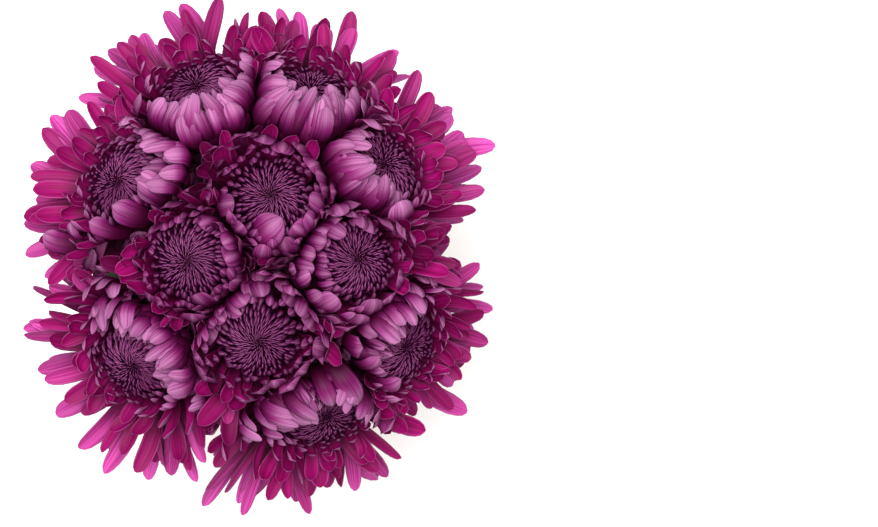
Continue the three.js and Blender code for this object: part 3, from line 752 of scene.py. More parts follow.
# %% [markdown]
# ## Two shared shader groups
# Clay, soil, stems and leaves all vary softly from place to place: that is the mottling group. Petals,
# leaves and scales are all blades with an edge and a back: that is the blade sides group. Each is made once
# and placed in the materials with its own values.


# %% Shared groups
def new_group(name, inputs, outputs):
    group = bpy.data.node_groups.new(name, "ShaderNodeTree")
    for label, value in inputs.items():
        group.interface.new_socket(label, in_out="INPUT", socket_type="NodeSocketFloat").default_value = value
    for label in outputs:
        group.interface.new_socket(label, in_out="OUTPUT", socket_type="NodeSocketFloat")
    return group, group.nodes.new("NodeGroupInput").outputs, group.nodes.new("NodeGroupOutput").inputs


def placed(tree, group, values):
    """Puts a shared group in a material and gives its outputs in their order."""
    node = tree.nodes.new("ShaderNodeGroup")
    node.node_tree = group
    for label, value in values.items():
        node.inputs[label].default_value = value
    return list(node.outputs)


def mottling_group():
    ranges = {"Scale": 40.0, "Detail": 4.0, "Low": 0.35, "High": 0.65}
    group, given, ends = new_group("mottling", ranges, ["Mask", "Height"])
    spot = add(group, "ShaderNodeTexCoord").outputs["Object"]
    grain = {"Vector": spot, "Scale": given["Scale"], "Detail": given["Detail"], "Roughness": 0.6}
    noise = add(group, "ShaderNodeTexNoise", grain).outputs["Fac"]
    group.links.new(ranged(group, noise, given["Low"], given["High"]), ends["Mask"])
    group.links.new(noise, ends["Height"])
    return group


def blade_sides_group():
    group, given, ends = new_group("blade sides", {"Edge": 0.8}, ["Apart", "Rim", "Back"])
    apart = maths(group, "ABSOLUTE", shader_value(group, "across"))
    group.links.new(apart, ends["Apart"])
    group.links.new(ranged(group, apart, given["Edge"], 1.0), ends["Rim"])
    group.links.new(ranged(group, shader_value(group, "under"), 0.1, -0.1), ends["Back"])
    return group


mottling = mottling_group()
blade_sides = blade_sides_group()


def mottled(tree, **values):
    return placed(tree, mottling, values)


for group in (mottling, blade_sides):
    print(group.name, [item.name for item in group.interface.items_tree if item.in_out == "OUTPUT"])

# %% [markdown]
# ## The petal's colour
# The inner face of a petal is a deep, vivid magenta. Its back is paler and dustier, with fine veins along
# it, and its foot is nearly black, partly its own colour and partly painted shade. Valleys and small hoods
# get painted shade, the backs of outer blooms painted light, and crests painted highlights. The blade's own
# values say which is which, so the colour follows the shape from every side.


# %% Petal material
def petal_material():
    material, tree = new_material("chrysanthemum petal", 0.5, 0.1)
    apart, edge, is_back = placed(tree, blade_sides, {"Edge": 0.8})
    keys = ("across", "along", "rank", "chance", "deep", "sun")
    across, along, rank, luck, deep, sun = (shader_value(tree, key) for key in keys)
    spot = {0: times(tree, across, 6.0), 1: along, 2: times(tree, luck, 40.0)}
    spot = add(tree, "ShaderNodeCombineXYZ", spot)
    grain = {"Vector": spot.outputs[0], "Scale": 1.0, "Detail": 3.0}
    streaks = add(tree, "ShaderNodeTexNoise", grain).outputs["Fac"]
    streak = ranged(tree, streaks, 0.35, 0.65)
    # the face, brighter on the outermost straps, with a pale rim
    outer = ranged(tree, rank, 0.84, 0.98, 0.0, 0.95)
    face = blend_colour(tree, streak, (0.15, 0.0008, 0.048), (0.25, 0.003, 0.1))
    bright = blend_colour(tree, streak, (0.40, 0.025, 0.22), (0.62, 0.10, 0.40))
    face = blend_colour(tree, times(tree, outer, ranged(tree, along, 0.4, 0.85)), face, bright)
    rim = times(tree, edge, ranged(tree, rank, 0.6, 0.72, 0.0, 0.38))
    face = blend_colour(tree, times(tree, rim, ranged(tree, along, 0.5, 0.75)), face, (0.42, 0.11, 0.30))
    # the back, paler towards the tip, more so on the outer blooms as painted light,
    # with a painted highlight along its ridge
    back = blend_colour(tree, streak, (0.10, 0.002, 0.054), (0.18, 0.010, 0.112))
    pale = blend_colour(tree, streak, (0.18, 0.035, 0.124), (0.30, 0.115, 0.24))
    paleness = times(tree, ranged(tree, along, 0.72, 1.0), maths(tree, "MULTIPLY_ADD", sun, 0.7, 0.3))
    paleness = times(tree, paleness, ranged(tree, rank, 0.55, 0.74, 0.6, 1.0))
    back = blend_colour(tree, paleness, back, pale)
    ridge = times(tree, ranged(tree, apart, 0.45, 0.0), ranged(tree, along, 0.7, 0.95, 0.0, 0.35))
    back = blend_colour(tree, ridge, back, (0.40, 0.16, 0.31))
    # the back's dark foot: partly the petal's own colour, partly painted shade
    back = blend_colour(tree, ranged(tree, along, 0.52, 0.9), (0.045, 0.0004, 0.02), back)
    # both together, dark at the foot (partly the petals' own colour, partly painted shade),
    # with painted highlights on the quills' crests
    colour = blend_colour(tree, is_back, face, back)
    colour = blend_colour(tree, ranged(tree, along, 0.3, 0.74), (0.03, 0.0002, 0.012), colour)
    quill = ranged(tree, rank, 0.62, 0.48)
    quill_highlight = times(tree, ranged(tree, apart, 0.5, 0.1), ranged(tree, along, 0.74, 0.98))
    quill_highlight = times(tree, quill_highlight, ranged(tree, rank, 0.2, 0.5, 1.0, 0.6))
    fine = blend_colour(tree, quill_highlight, (0.055, 0.003, 0.034), (0.25, 0.06, 0.18))
    colour = blend_colour(tree, quill, colour, fine)
    # painted shade in the valleys and on the low straps, and no two petals quite alike
    colour = blend_colour(tree, times(tree, deep, 0.85), colour, (0.02, 0.0, 0.008))
    # painted shade: the small hoods around the disc are darker
    hood_shade = ranged(tree, rank, 0.5, 0.74, 0.55, 1.0)
    # painted light: the backs of outer blooms are brighter
    sunlit = times(tree, sun, times(tree, is_back, 0.2))
    vary = plus(tree, times(tree, luck, 0.4), plus(tree, 0.76, sunlit))
    vary = times(tree, vary, maths(tree, "MAXIMUM", hood_shade, quill))
    return painted(material, shaded(tree, colour, vary), streaks, 0.35, 0.4 * MM)


petal = petal_material()
print("petal nodes", len(petal.node_tree.nodes))

# %% [markdown]
# ## Eleven blooms
# One evaluation for each bloom: its own ribs, the same tree, the same material. The seed is the bloom's
# number, so each one is different and each run is the same.

# %% Grow the blooms
PETAL = {"Thickness": 0.15 * MM, "Quill points": 5, "Strap points": 12, "Material": petal}
blooms = {}
for number, name in enumerate(BLOOMS, 1):
    bloom = grow(rib_mesh(name + ".ribs", midribs(name, number)), blades_along_ribs, PETAL, name + ".petals")
    blooms[name] = bloom
    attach(bloom, "root")
    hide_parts(name)
print("faces of each bloom", [len(bloom.data.polygons) for bloom in blooms.values()])

# %% [markdown]
# ## Turned shapes
# The pot, the soil and the hearts of the blooms are round, so each is a profile turned about an axis. The
# helper closes both ends at a single point, so that no hole is left at the pole.


# %% A turned solid
UPRIGHT = {"side": np.eye(3)[0], "up": np.eye(3)[1], "axis": np.eye(3)[2], "foot": np.zeros(3)}


def turned(name, profile, sides, own=UPRIGHT, wobble=None, spread=None):
    """Turns a profile of (radius, height) that starts and ends on the axis, in mm."""
    foot, axis = own["foot"], own["axis"]
    azimuth = np.linspace(0, 2 * math.pi, sides, endpoint=False)
    around = np.cos(azimuth)[:, None] * own["side"] + np.sin(azimuth)[:, None] * own["up"]
    rings = []
    for radius, height in profile[1:-1]:
        lift = height + (wobble(radius, azimuth) if wobble else 0.0)
        radius = spread(radius, height, azimuth)[:, None] if spread else radius
        rings.append(foot + radius * around + np.broadcast_to(lift, azimuth.shape)[:, None] * axis)
    points = np.concatenate([*rings, [foot + profile[0][1] * axis, foot + profile[-1][1] * axis]])
    low, high = len(points) - 2, len(points) - 1
    last = (len(rings) - 1) * sides
    faces = []
    for k in range(sides):
        after = (k + 1) % sides
        faces.append((low, after, k))
        for start in range(0, last, sides):
            faces.append((start + k, start + after, start + sides + after, start + sides + k))
        faces.append((last + k, last + after, high))
    mesh = bpy.data.meshes.new(name)
    mesh.from_pydata((points * MM).tolist(), [], faces)
    mesh.shade_smooth()
    return new_object(name, mesh)


def finish_piece(piece, nodes, material=None):
    if material:
        piece.data.materials.clear()
        piece.data.materials.append(material)
    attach(piece, "root")
    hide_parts(*nodes)


print("turning helper ready")

# %% [markdown]
# ## The pot
# A thrown clay pot: tapered, with a raised rim, soft edges and four drain holes. It is turned from one
# profile with rounded corners, and the holes are cut with a Boolean modifier that is then applied.

# %% Pot shape
POT_HEIGHT = 108.0
POT_TOP_RADIUS = 62.0
POT_FOOT_RADIUS = 42.0
RIM_HEIGHT = 24.0
RIM_STEP = 3.5
POT_WALL = 5.0
FLOOR_THICKNESS = 7.0
DRAIN_RADIUS = 5.0
DRAIN_RING = 24.0
DRAIN_HOLES = 4
POT_SIDES = 144


def pot_radius(height):
    return POT_FOOT_RADIUS + (POT_TOP_RADIUS - RIM_STEP - POT_FOOT_RADIUS) * height / POT_HEIGHT


def rounded_corner(before, corner, after, radius, steps=4):
    """Points of a soft corner, as a short curve between the two edges."""
    before, corner, after = (np.array(point, float) for point in (before, corner, after))
    start = corner + radius * unit(before - corner)
    end = corner + radius * unit(after - corner)
    s = np.linspace(0, 1, steps + 1)[:, None]
    return ((1 - s) ** 2 * start + 2 * (1 - s) * s * corner + s**2 * end).tolist()


def pot_profile():
    rim_foot = POT_HEIGHT - RIM_HEIGHT
    inner_top = POT_TOP_RADIUS - RIM_STEP - POT_WALL + 2
    corners = [
        ((0, 0), 0),
        ((POT_FOOT_RADIUS, 0), 1.6),
        ((pot_radius(rim_foot), rim_foot), 1.0),
        ((pot_radius(rim_foot) + RIM_STEP, rim_foot + 1.5), 1.4),
        ((POT_TOP_RADIUS, POT_HEIGHT), 2.4),
        ((inner_top, POT_HEIGHT), 2.0),
        ((pot_radius(FLOOR_THICKNESS) - POT_WALL, FLOOR_THICKNESS), 3.0),
        ((0, FLOOR_THICKNESS), 0),
    ]
    profile = [corners[0][0]]
    for (before, _), (corner, radius), (after, _) in zip(corners, corners[1:], corners[2:]):
        profile += rounded_corner(before, corner, after, radius)
    return profile + [corners[-1][0]]


pot = turned("pot.clay", pot_profile(), POT_SIDES)
plug_top = FLOOR_THICKNESS + 2
plug = [(0, 0), (DRAIN_RADIUS, 0), (DRAIN_RADIUS, plug_top), (0, plug_top)]
cutters = []
for i in range(DRAIN_HOLES):
    turn = 2 * math.pi * (i + 0.5) / DRAIN_HOLES
    foot = np.array([DRAIN_RING * math.cos(turn), DRAIN_RING * math.sin(turn), -1.0])
    cutters.append(turned("drain.cutter", plug, 28, {**UPRIGHT, "foot": foot}))
    cut = pot.modifiers.new("drain", "BOOLEAN")
    cut.object = cutters[-1]
    cut.solver = "EXACT"
bpy.context.view_layer.update()
whole = bpy.data.meshes.new_from_object(pot.evaluated_get(bpy.context.evaluated_depsgraph_get()))
pot.modifiers.clear()
pot.data = whole
for cutter in cutters:
    bpy.data.objects.remove(cutter)
pot.data.shade_smooth()
pot.data.set_sharp_from_angle(angle=math.radians(50))
print("pot faces", len(pot.data.polygons))

# %% [markdown]
# ## Clay
# Fired clay is never one colour. It has cloudy orange and buff patches, fine rings from the wheel, tiny
# dark specks, and a chalky bloom where water dried, strongest at the foot and fainter on the rim.


# %% Clay material
def clay_material():
    material, tree = new_material("fired clay", 0.85, 0.25)
    cloud, _ = mottled(tree, Scale=22.0, Detail=5.0, Low=0.3, High=0.7)
    speck, fine = mottled(tree, Scale=900.0, Detail=3.0, Low=0.62, High=0.72)
    chalk, _ = mottled(tree, Scale=60.0, Detail=8.0, Low=0.42, High=0.62)
    z = split(tree, add(tree, "ShaderNodeTexCoord").outputs["Object"])["Z"]
    colour = blend_colour(tree, cloud, (0.42, 0.155, 0.07), (0.56, 0.235, 0.12))
    colour = blend_colour(tree, times(tree, speck, 0.45), colour, (0.24, 0.085, 0.04))
    low = ranged(tree, z, 45 * MM, 2 * MM)
    high = ranged(tree, z, 70 * MM, 86 * MM)
    edge = times(tree, maths(tree, "MAXIMUM", low, times(tree, high, 0.5)), chalk)
    colour = blend_colour(tree, times(tree, edge, 0.55), colour, (0.66, 0.52, 0.42))
    rings = maths(tree, "SINE", times(tree, z, 2 * math.pi / (1.3 * MM)))
    height = plus(tree, times(tree, rings, 0.12), fine)
    return painted(material, colour, height, 0.45, 0.3 * MM)


finish_piece(pot, ["pot"], clay_material())
print("pot box, mm", [round(1000 * v) for v in pot.dimensions])

# %% [markdown]
# ## Potting soil
# Peat soil is a dark, uneven bed. It is turned like the pot, and its top is roughened by a few waves.

# %% Soil bed
SOIL_TOP = 95.0
SOIL_RADIUS = 55.0
SOIL_FLOOR = 7.4


def soil_wobble(radius, azimuth):
    swell = 0.7 * np.sin(3 * azimuth + 0.11 * radius) + 0.5 * np.sin(5 * azimuth - 0.23 * radius)
    return 0.0 if radius > SOIL_RADIUS - 2.5 else swell * (radius / SOIL_RADIUS) ** 0.5


soil_wall = [(0, SOIL_FLOOR), (pot_radius(SOIL_FLOOR) - POT_WALL - 0.6, SOIL_FLOOR)]
soil_wall += [(SOIL_RADIUS - 2.2, SOIL_TOP - 2.4), (SOIL_RADIUS - 2.6, SOIL_TOP - 1.8)]
soil_top = [(r, SOIL_TOP - 0.8 * (r / SOIL_RADIUS) ** 4) for r in np.linspace(SOIL_RADIUS - 4, 2, 24)]
soil = turned("soil.bed", soil_wall + soil_top + [(0, SOIL_TOP)], 96, wobble=soil_wobble)
print("soil faces", len(soil.data.polygons))

# %% [markdown]
# ## Crumbs
# Crumbs of peat and a few white grains of perlite lie on the bed. One tree scatters small balls on its top,
# turns and stretches each one by chance, and roughens them with noise. It runs twice, with its own values
# for the crumbs and for the grains.


# %% Crumb tree
def crumb_tree():
    sockets = {"Density": "Float", "Smallest": "Float", "Largest": "Float", "Seed": "Int"}
    sockets["Material"] = "Material"
    tree, given, end = new_tree("crumbs on a bed", sockets)
    normal = split(tree, add(tree, "GeometryNodeInputNormal").outputs[0])["Z"]
    high = maths(tree, "GREATER_THAN", split(tree, here(tree))["Z"], (SOIL_TOP - 15) * MM)
    top = times(tree, maths(tree, "GREATER_THAN", normal, 0.5), high)
    bed = {"Mesh": given[0], "Selection": top, "Density": given["Density"], "Seed": given["Seed"]}
    spots = add(tree, "GeometryNodeDistributePointsOnFaces", bed, distribute_method="RANDOM")
    ball = add(tree, "GeometryNodeMeshIcoSphere", {"Radius": 1.0, "Subdivisions": 1}).outputs[0]
    sizes = {"Min": given["Smallest"], "Max": given["Largest"], "Seed": given["Seed"]}
    size = add(tree, "FunctionNodeRandomValue", sizes, data_type="FLOAT")
    turns = {"Max": (6.3, 6.3, 6.3), "Seed": 7}  # a full turn and a hair
    spin = add(tree, "FunctionNodeRandomValue", turns, data_type="FLOAT_VECTOR")
    forms = {"Min": (0.6, 0.6, 0.5), "Max": (1.3, 1.2, 0.9), "Seed": 11}
    stretch = add(tree, "FunctionNodeRandomValue", forms, data_type="FLOAT_VECTOR")
    balls = {"Points": spots.outputs["Points"], "Instance": ball, "Rotation": spin.outputs[0]}
    balls["Scale"] = scaled(tree, stretch.outputs[0], size.outputs[1])
    scattered = add(tree, "GeometryNodeInstanceOnPoints", balls).outputs[0]
    whole = add(tree, "GeometryNodeRealizeInstances", {"Geometry": scattered}).outputs[0]
    noise = add(tree, "ShaderNodeTexNoise", {"Vector": here(tree), "Scale": 700.0, "Detail": 1.0})
    about_nought = {0: noise.outputs["Color"], 1: (0.5, 0.5, 0.5)}
    centred = add(tree, "ShaderNodeVectorMath", about_nought, operation="SUBTRACT").outputs[0]
    rough = moved(tree, whole, Offset=scaled(tree, centred, 1.6 * MM))
    finished(tree, end, rough, given["Material"])
    return tree


crumbs_on_bed = crumb_tree()
print("nodes in the crumb tree", len(crumbs_on_bed.nodes))

# %% [markdown]
# ## Peat and perlite
# Both materials use the mottling group with their own values. The crumbs lie on a copy of the bed, so the
# bed itself stays as it was turned.


# %% Soil, crumbs and grains
def soil_material():
    material, tree = new_material("peat soil", 0.95, 0.2)
    patch, _ = mottled(tree, Scale=90.0, Detail=4.0, Low=0.35, High=0.7)
    grain, fine = mottled(tree, Scale=1500.0, Detail=4.0, Low=0.3, High=0.7)
    colour = blend_colour(tree, patch, (0.012, 0.007, 0.004), (0.05, 0.028, 0.016))
    colour = blend_colour(tree, times(tree, grain, 0.5), colour, (0.075, 0.043, 0.026))
    return painted(material, colour, fine, 0.8, 0.8 * MM)


def perlite_material():
    material, tree = new_material("perlite", 0.9, 0.3)
    patch, fine = mottled(tree, Scale=700.0, Detail=3.0, Low=0.35, High=0.65)
    colour = blend_colour(tree, patch, (0.5, 0.47, 0.42), (0.8, 0.78, 0.74))
    return painted(material, colour, fine, 0.5, 0.3 * MM)


peat = soil_material()
finish_piece(soil, ["soil"], peat)
SCATTERED = {
    # number per square metre, smallest and largest radius, seed, material
    "soil.crumbs": (300000.0, 0.5 * MM, 1.7 * MM, 3, peat),
    "soil.perlite": (14000.0, 0.7 * MM, 1.6 * MM, 5, perlite_material()),
}
for name, facts in SCATTERED.items():
    values = dict(zip(("Density", "Smallest", "Largest", "Seed", "Material"), facts))
    crumbs = grow(soil.data.copy(), crumbs_on_bed, values, name)
    finish_piece(crumbs, ["soil"])
    print(name, "faces", len(crumbs.data.polygons))

# %% [markdown]
# ## The plants
# Four rooted cuttings stand in the pot. Each has a short woody foot and a shoot for every bloom that it
# carries, and each shoot has a few lobed leaves and ends in a green cup of scales under its bloom.

# %% Where stems and leaves go
BASE_STEM_RADIUS = 4.0
BASE_STEM_RING = 26.0
BASE_STEM_SINK = 20.0
FORK_HEIGHT = 10.0
REST_GAP = 0.3
SHOOT_RADIUS = 2.3
CALYX_DEPTH = 8.0
PLANTS = {
    "plant_1": (90, 50, 129, ["bloom_01", "bloom_02", "bloom_04"]),
    "plant_2": (184, 129, 240, ["bloom_03", "bloom_06", "bloom_08"]),
    "plant_3": (276, 240, 312, ["bloom_09", "bloom_11"]),
    "plant_4": (1, 312, 410, ["bloom_05", "bloom_07", "bloom_10"]),
}
UP = np.array([0.0, 0.0, 1.0])


def chance(seed):
    value = math.sin(seed * 12.9898) * 43758.5453
    return value - math.floor(value)


def stem_foot(bearing):
    turn = math.radians(bearing)
    return np.array([BASE_STEM_RING * math.cos(turn), BASE_STEM_RING * math.sin(turn), SOIL_TOP])


def shoot_points(bearing, own):
    fork = stem_foot(bearing) + (FORK_HEIGHT - 4) * UP
    end = own["foot"] - own["axis"] * (REST_GAP + CALYX_DEPTH / 2)
    rise = end[2] - fork[2]
    return fork, fork + 0.35 * rise * UP, end - 0.42 * rise * own["axis"], end


def on_curve(points, s):
    a, b, c, d = points
    s = np.asarray(s, float)[..., None]
    return (1 - s) ** 3 * a + 3 * (1 - s) ** 2 * s * b + 3 * (1 - s) * s**2 * c + s**3 * d


print("shoots", sum(len(blooms_of) for *_, blooms_of in PLANTS.values()))

# %% [markdown]
# ## Stems
# A stem is swept along its line like a petal, but with a ribbed round section instead of a flat one. A
# young chrysanthemum stem is angular, with five or six ridges, and turns woody towards the ground.


# %% Stem shape
def stem_tree():
    sockets = {"Ridges": "Float", "Ridge depth": "Float", "Material": "Material"}
    tree, given, end = new_tree("ribbed stems", sockets)
    rails = add(tree, "GeometryNodeMeshToCurve", {"Mesh": given[0]}).outputs[0]
    spot = split(tree, here(tree))
    turn = maths(tree, "ARCTAN2", spot["Y"], spot["X"])
    wave = maths(tree, "SINE", times(tree, turn, given["Ridges"]))
    ring = stored(tree, circle(tree, 24), "ridge", wave)
    swell = plus(tree, 1.0, times(tree, wave, given["Ridge depth"]))
    ring = moved(tree, ring, Position=scaled(tree, here(tree), swell))
    finished(tree, end, swept(tree, rails, ring), given["Material"])
    return tree


def line_mesh(name, lines):
    """Plain edges along lines of (points, radius and woodiness at each point)."""
    mesh = bpy.data.meshes.new(name)
    edges, start = [], 0
    for line in lines:
        edges += [(start + i, start + i + 1) for i in range(len(line[0]) - 1)]
        start += len(line[0])
    points, half, woody = (np.concatenate(column) for column in zip(*lines))
    mesh.from_pydata((points * MM).tolist(), edges, [])
    for key, values in {"half": half * MM, "woody": woody}.items():
        mesh.attributes.new(key, "FLOAT", "POINT").data.foreach_set("value", values.astype(np.float32))
    return mesh


def stem_lines(name):
    bearing, _from, _to, blooms_of = PLANTS[name]
    foot = stem_foot(bearing)
    heights = np.linspace(-BASE_STEM_SINK, FORK_HEIGHT + 0.5, 12)
    widths = BASE_STEM_RADIUS * (1 + 0.06 * np.sin(0.9 * heights) - 0.5 * (heights > FORK_HEIGHT))
    lines = [(foot + heights[:, None] * UP, widths, np.ones(12))]
    for bloom_name in blooms_of:
        s = np.linspace(0, 1, 26)
        points = on_curve(shoot_points(bearing, frames[bloom_name]), s)
        nodes = np.exp(-(((s * 6) % 1 - 0.5) / 0.12) ** 2)
        lines.append((points, SHOOT_RADIUS * (0.94 + 0.12 * nodes), np.clip(0.8 - 1.6 * s, 0, 1)))
    return lines


def stem_material():
    material, tree = new_material("green stem", 0.6, 0.3)
    woody, ridge = shader_value(tree, "woody"), shader_value(tree, "ridge")
    patch, _ = mottled(tree, Scale=160.0, Detail=4.0, Low=0.35, High=0.65)
    _, fine = mottled(tree, Scale=1800.0, Detail=2.0)
    colour = blend_colour(tree, patch, (0.075, 0.15, 0.03), (0.125, 0.22, 0.055))
    colour = blend_colour(tree, ranged(tree, ridge, 0.2, 1.0), colour, (0.17, 0.27, 0.09))
    bark = blend_colour(tree, patch, (0.085, 0.055, 0.028), (0.16, 0.115, 0.06))
    return painted(material, blend_colour(tree, woody, colour, bark), fine, 0.5, 0.2 * MM)


ribbed_stems = stem_tree()
stem_green = stem_material()
STEM = {"Ridges": 6.0, "Ridge depth": 0.07, "Material": stem_green}
for name in PLANTS:
    stems = grow(line_mesh(name + ".lines", stem_lines(name)), ribbed_stems, STEM, name + ".stems")
    finish_piece(stems, [name])
    print(stems.name, "faces", len(stems.data.polygons))

# %% [markdown]
# ## Leaves
# A chrysanthemum leaf has five or so rounded lobes with small teeth, a stalk, a sunken midrib and side
# veins that run forward into the lobes. It is swept along its midrib like a petal: the half width along the
# rib is the leaf's outline, and a forward shift of the edges makes the lobes point on towards the tip.

# %% Leaf shape
LEAF_LENGTH = 54.0
LEAF_HALF_WIDTH = 18.0
LEAF_RISE = 24.0
LEAF_DROOP = 62.0
LEAF_FOLD = 0.22
# shares of the length, and of the half width there: the stalk, then the lobes and the notches
LEAF_EDGE = np.array(
    [(0, 0.07), (0.12, 0.08), (0.19, 0.3), (0.3, 0.74), (0.39, 0.42), (0.47, 0.66)]
    + [(0.6, 1.0), (0.7, 0.5), (0.77, 0.52), (0.87, 0.56), (0.95, 0.34), (1, 0.04)]
)
LEAF_STEPS = 56
LEAF_VEINS = 5.2
LEAF_SLANT = 0.1
# each leaf of a shoot: its height on the shoot, mm, its turn from the shoot's bearing, degrees, its size
OUTER_LEAVES = [(18, -20, 1.0), (34, 18, 0.92), (50, -3, 0.72)]
INNER_LEAVES = [(26, 0, 0.6)]
INNER_BLOOM_RADIUS = 45.0
# one leaf stays short, so that its tip doesn't show beside the crown
LEAF_LIMIT = {("bloom_05", 0): 0.86}
WALL_SPARE = 0.35


def leaf_half_width(share):
    fine = np.interp(share, *LEAF_EDGE.T)
    soft = np.convolve(np.pad(fine, 1, mode="edge"), [0.2, 0.6, 0.2], mode="valid")
    teeth = 0.055 * np.sin(2 * math.pi * 17 * share) * np.clip((share - 0.14) / 0.1, 0, 1)
    return soft + teeth * np.clip(soft * 2, 0, 1)


print("widest place of a leaf", LEAF_EDGE[LEAF_EDGE[:, 1].argmax(), 0])

# %% [markdown]
# ## Where leaves go
# A leaf starts on its shoot and points away from the pot's axis. It is turned towards the middle of its own
# plant's sector until it is clear of the next plant.


# %% Leaf places
def leaf_line(start, bearing, size, share):
    turn = math.radians(bearing)
    outward = np.array([math.cos(turn), math.sin(turn), 0.0])
    angle = np.radians(LEAF_RISE - 0.5 * LEAF_DROOP * share)
    length = LEAF_LENGTH * size * share
    line = start + (length * np.cos(angle))[:, None] * outward + (length * np.sin(angle))[:, None] * UP
    return line, outward


def inside_sector(plant, points):
    _bearing, low, high, _blooms = PLANTS[plant]
    low, high = math.radians(low), math.radians(high)
    past_low = points[:, 1] * math.cos(low) - points[:, 0] * math.sin(low)
    before_high = points[:, 0] * math.sin(high) - points[:, 1] * math.cos(high)
    return np.minimum(past_low, before_high).min()


def leaf_spots(plant):
    """Each leaf of a plant as its start, bearing and size, turned until it is clear of the next plant."""
    bearing, low, high, blooms_of = PLANTS[plant]
    spots = []
    for bloom_name in blooms_of:
        x, y = BLOOMS[bloom_name][:2]
        index = int(bloom_name[-2:]) - 1
        own_bearing = math.degrees(math.atan2(y, x))
        own_bearing += 360 * round((bearing - own_bearing) / 360)
        points = shoot_points(bearing, frames[bloom_name])
        wanted = INNER_LEAVES if math.hypot(x, y) < INNER_BLOOM_RADIUS else OUTER_LEAVES
        for i, (height, turn, usual) in enumerate(wanted):
            start = on_curve(points, [height / (points[3][2] - points[0][2])])[0]
            size = min(usual * (0.9 + 0.2 * chance(10 * index + i)), LEAF_LIMIT.get((bloom_name, i), 2.0))
            for share in np.arange(0, 1.01, 0.05):
                heading = (own_bearing + turn) * (1 - share) + share * (low + high) / 2
                rib, outward = leaf_line(start, heading, size, LEAF_EDGE[:, 0])
                wide = (LEAF_EDGE[:, 1] * LEAF_HALF_WIDTH * size)[:, None] * np.cross(UP, outward)
                if inside_sector(plant, np.concatenate([rib + wide, rib - wide])) > WALL_SPARE:
                    spots.append((start, heading, size, chance(31 * index + i)))
                    break
    return spots


print("leaves", sum(len(leaf_spots(plant)) for plant in PLANTS))

# %% [markdown]
# ## Ribs of the leaves
# A leaf's rib carries the same values as a petal's. Its pucker sinks the side veins, and its ahead vector
# moves the edges forward.


# %% Leaf ribs
def leaf_ribs(plant):
    share = np.linspace(0, 1, LEAF_STEPS)
    ribs = []
    for start, bearing, size, luck in leaf_spots(plant):
        line, outward = leaf_line(start, bearing, size, share)
        across = np.cross(UP, outward)
        line += (3.0 * (luck - 0.5) * np.sin(math.pi * share))[:, None] * across
        way = unit(np.gradient(line, axis=0))
        facing = unit(np.cross(across, way)) * -1.0
        half = leaf_half_width(share) * LEAF_HALF_WIDTH * size
        veins = np.cos(2 * math.pi * LEAF_VEINS * (share - 0.05))
        more = {"rank": size, "broad": 1.0, "chance": luck}
        more["pucker"] = 0.5 * veins * MM * np.clip(half / 6, 0, 1)
        more["ahead"] = way * (LEAF_SLANT * LEAF_LENGTH * size * half / LEAF_HALF_WIDTH)[:, None] * MM
        ribs.append(one_rib(line, way, facing, half, 2 * LEAF_FOLD, share, **more))
    return stacked(ribs)


print("points on a leaf rib", LEAF_STEPS)

# %% [markdown]
# ## The leaf's colour
# The top of a leaf is a dark green and its underside a pale one. The midrib and the side veins are masks
# from the same values that shape the leaf, and they are also pressed a little into the surface.


# %% Leaf material
def leaf_material():
    material, tree = new_material("chrysanthemum leaf", 0.55, 0.3)
    apart, _edge, is_back = placed(tree, blade_sides, {"Edge": 0.8})
    along, luck, half = (shader_value(tree, key) for key in ("along", "chance", "half"))
    out = times(tree, apart, half)
    forward = times(tree, times(tree, out, 1 / (LEAF_LENGTH * MM)), 0.55)
    phase = maths(tree, "FRACT", times(tree, minus(tree, along, forward), LEAF_VEINS))
    side = ranged(tree, maths(tree, "ABSOLUTE", minus(tree, phase, 0.5)), 0.085, 0.02)
    vein = maths(tree, "MAXIMUM", ranged(tree, out, 0.75 * MM, 0.25 * MM), times(tree, side, 0.7))
    patch, _ = mottled(tree, Scale=70.0, Detail=4.0, Low=0.35, High=0.65)
    _, fine = mottled(tree, Scale=900.0, Detail=3.0)
    top = blend_colour(tree, patch, (0.022, 0.062, 0.012), (0.042, 0.105, 0.022))
    top = blend_colour(tree, times(tree, vein, 0.75), top, (0.12, 0.2, 0.06))
    bottom = blend_colour(tree, patch, (0.10, 0.155, 0.065), (0.145, 0.205, 0.095))
    bottom = blend_colour(tree, vein, bottom, (0.2, 0.27, 0.14))
    colour = blend_colour(tree, is_back, top, bottom)
    colour = shaded(tree, colour, plus(tree, 0.8, times(tree, luck, 0.4)))
    return painted(material, colour, minus(tree, times(tree, fine, 0.4), vein), 0.6, 0.5 * MM)


LEAF = {"Thickness": 0.25 * MM, "Quill points": 6, "Strap points": 16, "Material": leaf_material()}
for name in PLANTS:
    leaves = grow(rib_mesh(name + ".leaf_ribs", leaf_ribs(name)), blades_along_ribs, LEAF, name + ".leaves")
    finish_piece(leaves, [name])
    print(leaves.name, "faces", len(leaves.data.polygons))

# %% [markdown]
# ## Scales
# Under each bloom is a green cup, covered by three rows of small overlapping scales. Scales are short
# blades, so the petal tree makes them too.

# %% Scales
# how many scales in each row, their height and distance from the axis, and half their width, mm
SCALE_ROWS = [(13, -7.0, 2.6, 1.5), (13, -5.0, 5.2, 2.1), (14, -2.6, 7.4, 2.5)]


def scale_ribs(name):
    own = frames[name]
    share = np.linspace(0, 1, len(STATIONS))
    ribs = []
    for row, (count, height, radius, half) in enumerate(SCALE_ROWS):
        for k in range(count):
            azimuth = 2 * math.pi * (k + 0.5 * (row % 2)) / count
            outward = outward_of(own, np.array(azimuth))
            out = radius + 0.4 + (2.2 + 0.5 * row) * share
            up = height - 0.9 + (3.4 + 0.5 * row) * share**1.2
            line = own["foot"] + out[:, None] * outward + up[:, None] * own["axis"]
            way = unit(np.gradient(line, axis=0))
            facing = unit(np.cross(np.cross(own["axis"], outward), way)) * -1.0
            more = {"rank": 1.0, "chance": chance(17 * row + k)}
            ribs.append(one_rib(line, way, facing, half * STRAP_OUTLINE, 0.5, share, **more))
    return stacked(ribs)


